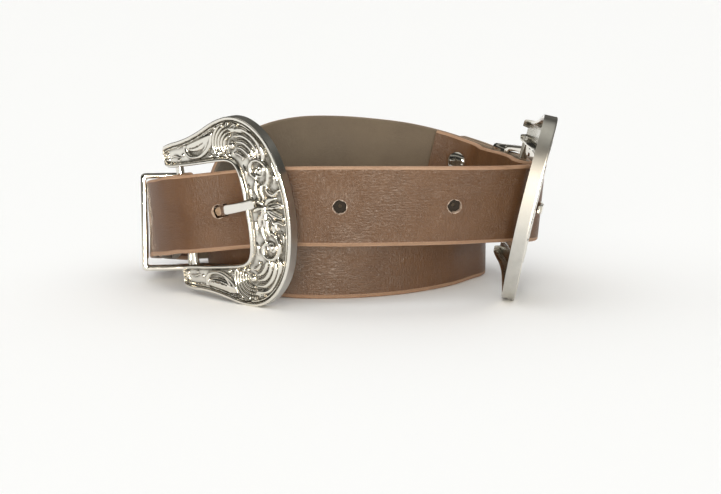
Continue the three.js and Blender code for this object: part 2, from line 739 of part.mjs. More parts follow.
function frontStrap() {
  const line = evenStops(
    [
      ...tail("right").reverse(),
      ...localStops(SEATS.right, FRONT_IN_RIGHT_BUCKLE),
      ...stopsOf(FRONT_ROUTE),
      ...localStops(SEATS.left, FRONT_IN_LEFT_BUCKLE),
      ...tail("left"),
    ],
    STRAP_STEP,
  );
  const total = line[line.length - 1].gone;
  const widthAt = (i) => {
    const toEnd = Math.min(line[i].gone, total - line[i].gone);
    return TIP_WIDTH + (STRAP_WIDTH - TIP_WIDTH) * Math.sqrt(THREE.MathUtils.clamp(toEnd / TIP_LENGTH, 0, 1));
  };
  let solid = solidOf(strapGeometry(line, widthAt));
  const frames = framesAlong(line);
  const first = nearestPlace(line, new THREE.Vector3(FIRST_HOLE_X, 1.4, 36.6));
  const holes = HOLE_PLACES.map((place) => first + place);
  for (const side of ["left", "right"]) {
    const { u, w, n } = PRONG_CROSSING[side];
    holes.push(nearestPlace(line, onSeat(SEATS[side], u, w, n)));
    solid = solid.subtract(prongRoom(side));
  }
  for (const place of holes) {
    solid = solid.subtract(punch(frameAt(frames, line, place), HOLE_DIAMETER, STRAP_THICKNESS));
  }
  return geometryOf(solid);
}

const leather = { color: 0x7a6350, roughness: 0.55, metalness: 0 };
const castMetal = { color: 0xc9c3b4, roughness: 0.25, metalness: 1 };
const plainMetal = { color: 0xd2cec4, roughness: 0.15, metalness: 1 };

const belt = new THREE.Group();
belt.position.set(PLACE.x, PLACE.y, PLACE.z);

function put(name, geometry, finish) {
  geometry.computeVertexNormals();
  const mesh = new THREE.Mesh(geometry, new THREE.MeshStandardMaterial(finish));
  mesh.name = name;
  belt.add(mesh);
}

put("main_strap", mainStrap(), leather);
put("front_strap", frontStrap(), leather);
for (const side of ["left", "right"]) {
  put(`buckle_frame_${side}`, buckleFrame(SEATS[side]), castMetal);
  put(`prong_${side}`, prong(side), plainMetal);
  put(`keeper_${side}`, keeper(side), plainMetal);
  put(`snap_${side}`, snap(snapFrame(side)), plainMetal);
}

export default belt;
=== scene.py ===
"""A western double buckle belt, closed and standing on its edges in two laps: a long strap, a short
front strap with punched holes, two cast buckles, their prongs, two keepers and two press snaps.
Every table of sizes is in millimetres, in the frame that the straps were measured in."""

import math

import bpy
import numpy as np
from mathutils import Matrix, Vector


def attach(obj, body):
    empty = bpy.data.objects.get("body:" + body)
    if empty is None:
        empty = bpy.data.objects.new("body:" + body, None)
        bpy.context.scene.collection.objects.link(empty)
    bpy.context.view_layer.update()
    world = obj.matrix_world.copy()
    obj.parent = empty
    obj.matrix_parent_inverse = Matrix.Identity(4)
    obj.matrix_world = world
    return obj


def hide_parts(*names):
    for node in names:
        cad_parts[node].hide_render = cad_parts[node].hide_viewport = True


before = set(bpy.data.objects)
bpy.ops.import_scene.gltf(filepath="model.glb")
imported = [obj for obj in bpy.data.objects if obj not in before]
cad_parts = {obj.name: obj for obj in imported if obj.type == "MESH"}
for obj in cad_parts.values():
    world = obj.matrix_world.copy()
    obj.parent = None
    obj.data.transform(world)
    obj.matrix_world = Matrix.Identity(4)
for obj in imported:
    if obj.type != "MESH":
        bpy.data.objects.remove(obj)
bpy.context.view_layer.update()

# Camera, floor and light. A long lens looks slightly down on the front strap. The floor is matt
# white card. A very wide soft light hangs overhead, a weak one fills the front from the camera's
# side, and a small panel beside the camera gives the leather and the metal their sheen.
MM = 0.001
# The move from the frame that the straps were measured in to the belt's own, in millimetres.
PLACE = np.array([1.39, -46.8, 0.35])
VIEW_HEIGHT = 36.64
VIEW_DOWN = math.radians(8.69)
VIEW_DISTANCE = 550.0
FOCAL_PIXELS = 1534.5
IMAGE_SIZE = (721, 494)
AXIS_PIXEL = (345.0, 207.0)


def in_metres(point):
    return (np.asarray(point, dtype=float) + PLACE) * MM


camera_data = bpy.data.cameras.new("camera")
camera = bpy.data.objects.new("camera", camera_data)
bpy.context.scene.collection.objects.link(camera)
bpy.context.scene.camera = camera
camera_data.sensor_width = 36.0
camera_data.lens = FOCAL_PIXELS * 36.0 / IMAGE_SIZE[0]
camera_data.shift_x = (IMAGE_SIZE[0] / 2 - AXIS_PIXEL[0]) / IMAGE_SIZE[0]
camera_data.shift_y = (AXIS_PIXEL[1] - IMAGE_SIZE[1] / 2) / IMAGE_SIZE[0]
camera_data.clip_start = 0.01
camera_data.clip_end = 50.0
camera.location = in_metres(
    (0, -VIEW_DISTANCE * math.cos(VIEW_DOWN), VIEW_HEIGHT + VIEW_DISTANCE * math.sin(VIEW_DOWN))
)
camera.rotation_euler = (math.radians(90) - VIEW_DOWN, 0, 0)

bpy.context.scene.view_settings.view_transform = "Standard"

world = bpy.data.worlds.new("studio")
bpy.context.scene.world = world
world.use_nodes = True
world_nodes = world.node_tree.nodes
world_links = world.node_tree.links
world_nodes.clear()
sky_place = world_nodes.new("ShaderNodeTexCoord")
sky_split = world_nodes.new("ShaderNodeSeparateXYZ")
sky_ramp = world_nodes.new("ShaderNodeValToRGB")
sky_shine = world_nodes.new("ShaderNodeBackground")
sky_out = world_nodes.new("ShaderNodeOutputWorld")
world_links.new(sky_place.outputs["Generated"], sky_split.inputs[0])
world_links.new(sky_split.outputs["Z"], sky_ramp.inputs[0])
world_links.new(sky_ramp.outputs[0], sky_shine.inputs["Color"])
world_links.new(sky_shine.outputs[0], sky_out.inputs[0])
# Grey of the studio from the floor's far edge up to the ceiling.
SKY_BANDS = [
    (0.0, 0.7), (0.06, 0.5), (0.12, 0.04), (0.34, 0.02), (0.42, 0.3), (0.5, 0.3), (0.58, 0.03),
    (0.8, 0.05), (1.0, 0.9),
]
sky_ramp.color_ramp.elements[0].position = SKY_BANDS[0][0]
sky_ramp.color_ramp.elements[1].position = SKY_BANDS[-1][0]
for position, _ in SKY_BANDS[1:-1]:
    sky_ramp.color_ramp.elements.new(position)
for element, (_, grey) in zip(sky_ramp.color_ramp.elements, SKY_BANDS):
    element.color = (grey, 0.975 * grey, 0.89 * grey, 1)
sky_shine.inputs["Strength"].default_value = 1.0


def soft_sun(name, direction, spread, strength, colour, mirrored):
    """A far soft box: where it stands, how many degrees wide it looks, how strong it is and
    whether shiny surfaces mirror it."""
    light = bpy.data.lights.new(name, "SUN")
    light.angle = math.radians(spread)
    light.energy = strength
    light.color = colour
    lamp = bpy.data.objects.new(name, light)
    bpy.context.scene.collection.objects.link(lamp)
    lamp.rotation_euler = Vector(direction).to_track_quat("Z", "Y").to_euler()
    lamp.visible_glossy = mirrored
    return lamp


soft_sun("light_above", (-0.12, 0.2, 1), 140, 2.45, (0.965, 0.98, 1), False)
soft_sun("light_front", (-0.1, -1, 0.12), 34, 2.0, (1, 0.93, 0.82), False)
# This panel is only mirrored: it adds nothing to the light on matt surfaces.
sheen_panel = soft_sun("light_sheen", (0.1, -1, 0.11), 12, 6.0, (1, 0.91, 0.77), True)
sheen_panel.visible_diffuse = False

bpy.ops.mesh.primitive_plane_add(size=30.0, location=(0, 8, 0))
floor = bpy.context.object
floor.name = "floor"
floor_card = bpy.data.materials.new("floor_card")
floor_card.use_nodes = True
floor_shader = floor_card.node_tree.nodes["Principled BSDF"]
floor_shader.inputs["Base Color"].default_value = (0.93, 0.93, 0.925, 1)
floor_shader.inputs["Roughness"].default_value = 0.9
floor_shader.inputs["Specular IOR Level"].default_value = 0.1
floor.data.materials.append(floor_card)

# Straps. Both are cut from one brown leather, 29 mm wide and 2.6 mm thick, with a smooth finished
# grain side, a rough flesh side and pale painted edges. The long strap is folded round both bars,
# and its folds are held by press snaps. The short front strap is punched with round holes.
STRAP_WIDTH = 29.3
STRAP_THICKNESS = 2.6
FOLD_LENGTH = 62.0
TAIL_LENGTH = 63.0
TIP_LENGTH = 12.0
TIP_WIDTH = 15.0
# Past the keeper the tail lifts off the outer ply: how much, from where and over what length.
TAIL_LIFT = (1.9, 34.0, 10.0)
TAIL_RISE = {"left": 0.0, "right": 1.2}
TAIL_RISE_OVER = 18.0
# The plain holes' places along the front strap, to the left of the first one.
FIRST_HOLE = (-1.8, 1.4, 36.6)
HOLE_PLACES = [-126, -41.2, 0, 90]
HOLE_RADIUS = 2.5
LINING_HOLE_RADIUS = 0.7
BEND_GAP = 0.5
BAR_RADIUS = 1.5
BAR_PLACE = -0.7
BAR_HEIGHT = -1.0
PLATE_MIDDLE = 24.0
PLATE_BEND_RADIUS = 130.0
REST = STRAP_WIDTH / 2 - PLACE[2]
WRAP_RADIUS = BAR_RADIUS + BEND_GAP + STRAP_THICKNESS / 2
MAIN_STEP = 1.2
FRONT_STEP = 0.9
TAIL_STEP = 7
TWIST_BLUR = 4.0
STRAP_ON_BAR = {"left": 1.2, "right": -2.4}
SNAP_PLACE = {"left": 54.0, "right": 49.0}
SNAP_RISE = {"left": 0.0, "right": 5.0}
SNAP_HOLE_RADIUS = 2.0
PRONG_WIDTH = 3.6
PRONG_SWING = {"left": (-1.2, 0.098), "right": (-1.4, 0.075)}
# Where a prong passes the front strap: place (u, w, n) in the plate's frame, and its tilt.
PRONG_CROSSING = {"left": (19.4, 0.7, -0.7, 20), "right": (24.3, 0.4, 1.4, 23)}
# Half sizes of the slots that the prongs pass: in the main strap's fold and in the front strap.
FOLD_SLOT = (10, 2.8, 8)
HOLE_SLOT = (6, PRONG_WIDTH / 2 + 0.5, 1.6)

# Rows of x, y, height of the strap's middle, and how many degrees the top edge leans out.
MAIN_ROUTE = [
    (-66.3, 32.4, 28.3, 3), (-70.6, 41.5, 26.4, 3), (-72.6, 53, 23.6, 2), (-71.8, 66, 20.4, 0),
    (-66.5, 81, 17.2, 0), (-54.5, 93.5, 15.2, 0), (-38, 99.6, REST, 0), (-22, 99, REST, 0),
    (-6, 95.2, REST, 0), (10, 90.8, REST, 0), (24, 87.2, REST, 0), (36, 84, REST, 0),
    (44.6, 79, REST, 0), (51.2, 73.6, REST, 0), (55.3, 66, REST, 0), (54, 60, REST, 0),
    (50, 54, REST, 0), (39.3, 39, REST, 0), (20.2, 24, REST, 0), (0, 17, REST, 0),
    (-18, 17.3, REST, 0), (-33, 23, 15.4, 0), (-46, 33, 17.8, 0), (-51.8, 46, 21.5, 0),
    (-51.8, 60, 26.4, 0), (-48.5, 73, 32.3, 0), (-41, 85, 38.6, 0), (-30, 92.5, 43.4, 0),
    (-18.5, 96, 45.6, 0), (-4, 97.3, 45.8, 0), (10, 96.6, 44.9, 0), (24, 94.6, 43.3, 1),
    (35.5, 91.8, 41, 2), (46, 88.2, 38.1, 3), (55, 82.5, 35.5, 5), (61.5, 74.5, 34.2, 7),
    (65.9, 65, 33.7, 9), (68.4, 55, 33.4, 11),
]
FRONT_ROUTE = [
    (57, 9, 36.3, 11), (48, 5.8, 36.5, 9), (38, 3.6, 36.6, 7), (20, 1.6, 36.7, 4),
    (0, 1.3, 36.6, 0), (-10, 1.9, 36.5, 1), (-18, 3.2, 36.3, 3), (-25, 5.2, 35.8, 4),
]
# Rows of u, w, n in the plate's frame, and how far the strap stands up against the plate's lean.
FRONT_IN_LEFT_BUCKLE = [
    (36, 0.3, -4.4, 0), (29, 0.4, -3.9, 0), (23, 0.6, -2.3, 0), (17, 0.8, 0.5, 0),
    (11.5, 1, 3.2, 0), (6, 1.1, 4.9, 0),
]
FRONT_IN_RIGHT_BUCKLE = [
    (7, -0.7, 5.4, 4), (14, -0.2, 5, 8), (20, 0.2, 3.6, 8), (25, 0.5, 1, 5),
    (30, 0.8, -2.2, 2), (34, 1, -4.4, 0),
]
# How far apart the plies' middles are, at places from the bar to the folded end.
FOLD_APART = {
    "left": [(0, 6.6), (24, 6.6), (35, 6.2), (42, 4.5), (48, 3.1), (70, 3.1)],
    "right": [(0, 6.6), (16, 6.6), (24, 6.8), (34, 6.5), (43, 3.1), (70, 3.1)],
}


def unit(vectors):
    return vectors / np.linalg.norm(vectors, axis=-1, keepdims=True)


def seat_of(x, y, z, yaw, lean, roll, side):
    """A buckle's place and directions: u from the bar to the limb, w across and n outwards."""
    yaw, lean, roll = (math.radians(angle) for angle in (yaw, lean, roll))
    up = np.array([0.0, 0.0, 1.0])
    along = np.array([side * math.cos(yaw), -math.sin(yaw), 0.0])
    out = np.array([-side * math.sin(yaw), -math.cos(yaw), 0.0])
    rolled = up * math.cos(roll) - along * math.sin(roll)
    return {
        "origin": np.array([x, y, z]),
        "u": along * math.cos(roll) + up * math.sin(roll),
        "w": rolled * math.cos(lean) + out * math.sin(lean),
        "n": out * math.cos(lean) - rolled * math.sin(lean),
        "side": side,
    }


SEATS = {
    "left": seat_of(-61.2, 25.7, 29.05, 40, 3.1, 9.2, 1),
    "right": seat_of(69.4, 46.2, 35.7, 87.5, 12, -2.7, -1),
}


def on_seat(seat, u, w, n):
    """Places of the flat plate's frame, rolled round the plate's gentle curve and set in the belt."""
    u, w, n = (np.asarray(value, dtype=float)[..., None] for value in (u, w, n))
    angle = (u - PLATE_MIDDLE) / PLATE_BEND_RADIUS
    bent_u = PLATE_MIDDLE + (PLATE_BEND_RADIUS + n) * np.sin(angle)
    bent_n = (PLATE_BEND_RADIUS + n) * np.cos(angle) - PLATE_BEND_RADIUS
    return seat["origin"] + bent_u * seat["u"] + w * seat["w"] + bent_n * seat["n"]


def smooth_step(x):
    x = np.clip(x, 0, 1)
    return x * x * (3 - 2 * x)


def cubic(p1, p2, t1, t2, t):
    """A place on the curve that leaves one point and reaches the next along the given tangents."""
    return p1 + t1 * t + (3 * p2 - 3 * p1 - 2 * t1 - t2) * t**2 + (2 * p1 - 2 * p2 + t1 + t2) * t**3


def centripetal(points, per_span):
    """A centripetal Catmull-Rom curve through the points, as even samples of every span."""
    padded = np.vstack([2 * points[0] - points[1], points, 2 * points[-1] - points[-2]])
    samples = []
    for i in range(len(points) - 1):
        p0, p1, p2, p3 = padded[i : i + 4]
        d0, d1, d2 = (math.sqrt(np.linalg.norm(b - a)) for a, b in ((p0, p1), (p1, p2), (p2, p3)))
        t1 = ((p1 - p0) / d0 - (p2 - p0) / (d0 + d1) + (p2 - p1) / d1) * d1
        t2 = ((p2 - p1) / d1 - (p3 - p1) / (d1 + d2) + (p3 - p2) / d2) * d1
        samples += [cubic(p1, p2, t1, t2, k / per_span) for k in range(per_span)]
    return np.array(samples + [points[-1]])


def blur(values, spread):
    """Soft moving average along a line of values, with its ends kept."""
    reach = int(3 * spread) + 1
    weights = np.exp(-0.5 * (np.arange(-reach, reach + 1) / spread) ** 2)
    weights /= weights.sum()
    values = np.atleast_2d(values.T).T
    padded = np.vstack([np.repeat(values[:1], reach, 0), values, np.repeat(values[-1:], reach, 0)])
    return np.stack([np.convolve(padded[:, k], weights, "valid") for k in range(values.shape[1])], 1)


def even_line(points, wides, step):
    """Even steps along the smooth curve through the points, and the strap's width direction there."""
    per_span = 24
    fine = centripetal(points, per_span)
    place = np.arange(len(fine)) / per_span
    gone = np.concatenate([[0], np.cumsum(np.linalg.norm(np.diff(fine, axis=0), axis=1))])
    goals = np.linspace(0, gone[-1], round(gone[-1] / step) + 1)
    rows = np.interp(goals, gone, place)
    line = np.stack([np.interp(goals, gone, fine[:, k]) for k in range(3)], axis=1)
    wide = np.stack([np.interp(rows, np.arange(len(wides)), wides[:, k]) for k in range(3)], axis=1)
    return line, blur(unit(wide), TWIST_BLUR / step), goals


def frames_along(line, wide):
    """The directions ahead, across the width and outwards at every point of a strap's line."""
    ahead = unit(np.gradient(line, axis=0))
    wide = unit(wide - (wide * ahead).sum(1, keepdims=True) * ahead)
    return ahead, wide, np.cross(wide, ahead)


def frame_at(place, gone, line, ahead, wide, out):
    """A strap's middle at a distance along it: the point, ahead, width and outward."""
    point, ahead, wide, out = (
        np.array([np.interp(place, gone, values[:, k]) for k in range(3)])
        for values in (line, ahead, wide, out)
    )
    return point, unit(ahead), unit(wide), unit(out)


def route_rows(rows):
    """Points and width directions of a strap that leans out from upright."""
    table = np.array(rows, dtype=float)
    points = table[:, :3]
    before = points[np.maximum(np.arange(len(points)) - 1, 0)]
    after = points[np.minimum(np.arange(len(points)) + 1, len(points) - 1)]
    ahead = (after - before) * [1, 1, 0]
    out = np.cross([0, 0, 1], unit(ahead))
    lean = np.radians(table[:, 3:4])
    return points, np.array([0, 0, 1]) * np.cos(lean) + out * np.sin(lean)


def buckle_rows(side, rows):
    """Points and width directions of the strap where it passes a buckle."""
    table = np.array(rows, dtype=float)
    seat = SEATS[side]
    wide = unit(seat["w"] - seat["n"] * np.tan(np.radians(table[:, 3:4])))
    return on_seat(seat, table[:, 0], table[:, 1], table[:, 2]), wide


def on_bar(side, n):
    """The place of the strap's middle over the crossbar, at a height in the plate's frame."""
    return on_seat(SEATS[side], BAR_PLACE, STRAP_ON_BAR[side], n)


route_points, route_wides = route_rows(MAIN_ROUTE)
main_points = np.vstack(
    [on_bar("left", BAR_HEIGHT + WRAP_RADIUS), route_points, on_bar("right", BAR_HEIGHT + WRAP_RADIUS)]
)
main_wides = np.vstack([SEATS["left"]["w"], route_wides, SEATS["right"]["w"]])
main_line, main_wide, main_gone = even_line(main_points, main_wides, MAIN_STEP)
main_line[:, 2] = np.maximum(main_line[:, 2], REST)
main_ahead, main_wide, main_out = frames_along(main_line, main_wide)


def from_bar(side, distance):
    """The outer ply's middle at a distance from a bar: the point, ahead, width and outward."""
    place = distance if side == "left" else main_gone[-1] - distance
    return frame_at(place, main_gone, main_line, main_ahead, main_wide, main_out)


def snap_frame(side):
    """A snap's place on the outer ply: the point, ahead, width and outward."""
    point, ahead, wide, out = from_bar(side, SNAP_PLACE[side])
    return point + wide * SNAP_RISE[side], ahead, wide, out


def inner_ply(side):
    """The folded end: it follows the outer ply on its inside, from the bar to the cut end."""
    distances = np.arange(MAIN_STEP, FOLD_LENGTH + 0.1, MAIN_STEP)
    table = np.array(FOLD_APART[side])
    fine = np.arange(-20, 90, 0.5)
    apart = blur(np.interp(fine, table[:, 0], table[:, 1]), 5)[:, 0]
    rows = [from_bar(side, distance) for distance in distances]
    points = [row[0] - row[3] * np.interp(d, fine, apart) for row, d in zip(rows, distances)]
    return np.array(points), np.array([row[2] for row in rows])


def turn_on_bar(side):
    """The half turn of the strap round the crossbar."""
    seat = SEATS[side]
    centre = on_bar(side, BAR_HEIGHT)
    out = unit(on_bar(side, BAR_HEIGHT + 1) - centre)
    along = unit(np.cross(out, seat["w"]))
    along = along * np.sign(along @ seat["u"])
    angles = np.radians(np.arange(15, 181, 15))[:, None]
    points = centre + WRAP_RADIUS * (out * np.cos(angles) + along * np.sin(angles))
    return points, np.repeat(seat["w"][None], len(points), 0)


def whole_main_strap():
    left = [np.vstack(pair) for pair in zip(turn_on_bar("left"), inner_ply("left"))]
    right = [np.vstack(pair) for pair in zip(turn_on_bar("right"), inner_ply("right"))]
    line = np.vstack([left[0][::-1], main_line, right[0]])
    wide = np.vstack([left[1][::-1], main_wide, right[1]])
    return line, wide


# Kinds of surface, in the order of the leather's materials.
GRAIN, FLESH, EDGE, PUNCHED, HOLE_SHADE = range(5)
HALF_THICK = STRAP_THICKNESS / 2
# The rounding of an edge as (outward, up), and where the edge paint starts on the grain side.
EDGE_ROUNDING = [(1.26, 13.85), (1.08, 14.22), (0.75, 14.45), (0.38, 14.6), (0.0, 14.65)]
PAINT_FROM = {"top": 13.62, "bottom": -13.0}
FLESH_TO = 14.0
# A tip narrows by moving the section's points inwards, and those nearer the middle than this less.
TAPER_FROM = 12.9
FAR_FROM_HOLES = 50.0
CUTTER_REACH = 5


def strap_section(columns):
    """The strap's section, from the grain side round both edges: outward, up, kind of surface."""
    ups = np.linspace(PAINT_FROM["bottom"], PAINT_FROM["top"], columns + 1)
    ring = [(HALF_THICK, up, GRAIN) for up in ups[:-1]]
    ring += [(HALF_THICK, ups[-1], EDGE)]
    ring += [(out, up, EDGE) for out, up in EDGE_ROUNDING]
    ring += [(-out, up, FLESH) for out, up in EDGE_ROUNDING[-2:0:-1]]
    ring += [(-HALF_THICK, up, FLESH) for up in np.linspace(FLESH_TO, -FLESH_TO, columns + 1)]
    ring += [(-out, -up, FLESH) for out, up in EDGE_ROUNDING[1:]]
    ring += [(out, -up, EDGE) for out, up in EDGE_ROUNDING[-2::-1]]
    return ring


def new_mesh(name, verts, faces, kinds=None, uv_layers=None):
    """A mesh object from points in metres, with a kind of surface for every face."""
    mesh = bpy.data.meshes.new(name)
    mesh.from_pydata([tuple(v) for v in verts], [], [tuple(f) for f in faces])
    if kinds is not None:
        mesh.polygons.foreach_set("material_index", kinds)
    for label, uvs in (uv_layers or {}).items():
        layer = mesh.uv_layers.new(name=label)
        corners = np.empty(len(mesh.loops), dtype=int)
        mesh.loops.foreach_get("vertex_index", corners)
        layer.data.foreach_set("uv", np.asarray(uvs)[corners].ravel())
    mesh.validate()
    obj = bpy.data.objects.new(name, mesh)
    bpy.context.scene.collection.objects.link(obj)
    return obj


def finish_mesh(obj, degrees=35):
    """Smooth shading, with edges sharper than the angle kept."""
    mesh = obj.data
    mesh.polygons.foreach_set("use_smooth", [True] * len(mesh.polygons))
    mesh.set_sharp_from_angle(angle=math.radians(degrees))


def swept_faces(rows, size):
    """Faces of a closed section of some points that is carried along rows, with both ends closed."""
    faces = []
    for i in range(rows - 1):
        for k in range(size):
            a, b = i * size + k, i * size + (k + 1) % size
            faces.append((a, b, b + size, a + size))
    faces.append(tuple(range(size))[::-1])
    faces.append(tuple((rows - 1) * size + k for k in range(size)))
    return faces


def strap_object(name, line, wide, columns, width_at, hole_places=()):
    """A closed strap swept along its line. The first UVs are its length and the way round it, in
    metres. The second are the distance along and across from the nearest hole, in millimetres."""
    _, wide, out = frames_along(line, wide)
    gone = np.concatenate([[0], np.cumsum(np.linalg.norm(np.diff(line, axis=0), axis=1))])
    ring = strap_section(columns)
    size = len(ring)
    verts, uvs, from_holes = [], [], []
    round_place = np.cumsum([0] + [math.dist(ring[i][:2], ring[i - 1][:2]) for i in range(1, size)])
    for i in range(len(line)):
        narrow = STRAP_WIDTH - width_at(gone[i], gone[-1])
        from_hole = min([abs(gone[i] - place) for place in hole_places], default=FAR_FROM_HOLES)
        for k, (across, up, _) in enumerate(ring):
            up -= math.copysign(narrow / 2, up) * min(abs(up) / TAPER_FROM, 1)
            verts.append(in_metres(line[i] + out[i] * across + wide[i] * up))
            uvs.append((gone[i] * MM, round_place[k] * MM))
            from_holes.append((from_hole, up))
    faces = swept_faces(len(line), size)
    kinds = [kind for _ in range(len(line) - 1) for _, _, kind in ring] + [EDGE, EDGE]
    return new_mesh(name, verts, faces, kinds, {"along_across": uvs, "from_hole": from_holes})


def cut(obj, cutters):
    """Takes the cutters away from a piece and throws them out."""
    for cutter in cutters:
        modifier = obj.modifiers.new("cut", "BOOLEAN")
        modifier.operation = "DIFFERENCE"
        modifier.solver = "EXACT"
        modifier.object = cutter
    graph = bpy.context.evaluated_depsgraph_get()
    result = bpy.data.meshes.new_from_object(obj.evaluated_get(graph), depsgraph=graph)
    obj.modifiers.clear()
    obj.data = result
    for cutter in cutters:
        bpy.data.objects.remove(cutter)


def new_cutter(name, verts, faces, kinds):
    """A cutter with as many empty material slots as the leather, so that its cuts keep their kinds."""
    obj = new_mesh(name, verts, faces, kinds)
    for _ in range(HOLE_SHADE + 1):
        obj.data.materials.append(None)
    return obj


def hole_cutter(point, ahead, wide, out, radius, ragged, kind, bottom=-CUTTER_REACH, sides=28):
    """A slightly ragged round punch, square to the strap, from its outside down to a bottom."""
    verts = []
    for reach in (bottom, CUTTER_REACH):
        for k in range(sides):
            angle = 2 * math.pi * k / sides
            wave = math.sin(5 * angle + 1.3) + 0.7 * math.sin(9 * angle + 0.4) + 0.5 * math.sin(14 * angle)
            r = radius + ragged * wave
            spot = point + ahead * r * math.cos(angle) + wide * r * math.sin(angle)
            verts.append(in_metres(spot + out * reach))
    faces = [(k, sides + k, sides + (k + 1) % sides, (k + 1) % sides) for k in range(sides)]
    faces += [tuple(range(sides)), tuple(range(sides, 2 * sides))[::-1]]
    return new_cutter("punch", verts, faces, [kind] * sides + [HOLE_SHADE, HOLE_SHADE])


def box_cutter(seat, centre, half, tilt, swing, kind):
    """A box for a slot, tilted in the plate's frame and moved sideways with the prong's swing."""
    verts = []
    for su in (-1, 1):
        for sw in (-1, 1):
            for sn in (-1, 1):
                u, n = su * half[0], sn * half[2]
                turned_u = u * math.cos(tilt) - n * math.sin(tilt)
                turned_n = u * math.sin(tilt) + n * math.cos(tilt)
                place_u = centre[0] + turned_u
                w = sw * half[1] + swing[0] + swing[1] * place_u
                verts.append(in_metres(on_seat(seat, place_u, w, centre[1] + turned_n)))
    faces = [(0, 1, 3, 2), (4, 6, 7, 5), (0, 4, 5, 1), (2, 3, 7, 6), (0, 2, 6, 4), (1, 5, 7, 3)]
    if np.dot(np.cross(seat["u"], seat["w"]), seat["n"]) < 0:
        faces = [face[::-1] for face in faces]
    return new_cutter("slot", verts, faces, [kind] * 6)


def add_group(name, inputs, outputs):
    """A shader node group with its sockets, and its nodes for what comes in and goes out."""
    group = bpy.data.node_groups.new(name, "ShaderNodeTree")
    for way, sockets in (("INPUT", inputs), ("OUTPUT", outputs)):
        for label, kind in sockets:
            group.interface.new_socket(label, in_out=way, socket_type=kind)
    return group, group.nodes.new("NodeGroupInput"), group.nodes.new("NodeGroupOutput")


def maths(tree, operation, a, b=None):
    """One step of arithmetic, where each value may be a number or another node's output."""
    node = tree.nodes.new("ShaderNodeMath")
    node.operation = operation
    for socket, value in zip(node.inputs, (a, b)):
        if isinstance(value, (int, float)):
            socket.default_value = value
        elif value is not None:
            tree.links.new(value, socket)
    return node.outputs[0]


def noise(tree, vector, scale, detail, roughness=0.55, distortion=0.0):
    node = tree.nodes.new("ShaderNodeTexNoise")
    node.inputs["Scale"].default_value = scale
    node.inputs["Detail"].default_value = detail
    node.inputs["Roughness"].default_value = roughness
    node.inputs["Distortion"].default_value = distortion
    tree.links.new(vector, node.inputs["Vector"])
    return node.outputs["Fac"]


def stretched(tree, vector, scale):
    node = tree.nodes.new("ShaderNodeMapping")
    node.inputs["Scale"].default_value = scale
    tree.links.new(vector, node.inputs["Vector"])
    return node.outputs[0]


def remap(tree, value, low, high, to_low=0.0, to_high=1.0):
    node = tree.nodes.new("ShaderNodeMapRange")
    tree.links.new(value, node.inputs["Value"])
    for label, number in zip(("From Min", "From Max", "To Min", "To Max"), (low, high, to_low, to_high)):
        node.inputs[label].default_value = number
    return node.outputs[0]


def mixed_colour(tree, factor, first, second):
    """A blend of two colours, where each may be three numbers or another node's output."""
    node = tree.nodes.new("ShaderNodeMix")
    node.data_type = "RGBA"
    tree.links.new(factor, node.inputs["Factor"])
    for label, value in (("A", first), ("B", second)):
        socket = [s for s in node.inputs if s.name == label and s.type == "RGBA"][0]
        if isinstance(value, tuple):
            socket.default_value = (*value, 1)
        else:
            tree.links.new(value, socket)
    return [s for s in node.outputs if s.type == "RGBA"][0]


def raised(tree, height, strength, depth, under=None):
    """A bump with a depth in millimetres, laid over another one where that is given."""
    node = tree.nodes.new("ShaderNodeBump")
    node.inputs["Strength"].default_value = strength
    node.inputs["Distance"].default_value = depth * MM
    tree.links.new(height, node.inputs["Height"])
    if under is not None:
        tree.links.new(under, node.inputs["Normal"])
    return node.outputs[0]


def wrinkles(tree, vector, scale):
    """Soft folds with sharp valleys between them, as the sum of a cloud and its folded double."""
    cloud = noise(tree, stretched(tree, vector, scale), 1, 4, 0.6, 0.5)
    folded = maths(tree, "ABSOLUTE", maths(tree, "SUBTRACT", cloud, 0.5))
    valleys = remap(tree, folded, 0.0, 0.09)
    return maths(tree, "ADD", maths(tree, "MULTIPLY", cloud, 0.5), maths(tree, "MULTIPLY", valleys, 0.5))


# Leather's fine relief and cloudy tone, shared by the grain side, the flesh side and the edges. The
# texture's place is metres along the strap and round it, so the scales are high. Creases run along
# the strap in some patches and across it in others.
leather_group, group_in, group_out = add_group(
    "leather_surface",
    [("Vector", "NodeSocketVector")],
    [("Creases", "NodeSocketFloat"), ("Pores", "NodeSocketFloat"), ("Clouds", "NodeSocketFloat")],
)
leather_place = group_in.outputs["Vector"]
lengthwise = wrinkles(leather_group, leather_place, (380, 1500, 1))
crosswise = wrinkles(leather_group, leather_place, (1400, 380, 1))
patches = noise(leather_group, leather_place, 34, 2)
length_share = remap(leather_group, patches, 0.38, 0.52)
cross_share = remap(leather_group, patches, 0.62, 0.48)
creases = maths(
    leather_group,
    "ADD",
    maths(leather_group, "MULTIPLY", lengthwise, length_share),
    maths(leather_group, "MULTIPLY", crosswise, cross_share),
)
leather_group.links.new(creases, group_out.inputs["Creases"])
cells = leather_group.nodes.new("ShaderNodeTexVoronoi")
cells.feature = "DISTANCE_TO_EDGE"
cells.inputs["Scale"].default_value = 2400
leather_group.links.new(leather_place, cells.inputs["Vector"])
pores = remap(leather_group, cells.outputs["Distance"], 0.0, 0.25)
leather_group.links.new(pores, group_out.inputs["Pores"])
leather_group.links.new(noise(leather_group, leather_place, 60, 4, 0.6), group_out.inputs["Clouds"])


def new_material(name):
    material = bpy.data.materials.new(name)
    material.use_nodes = True
    return material, material.node_tree, material.node_tree.nodes["Principled BSDF"]


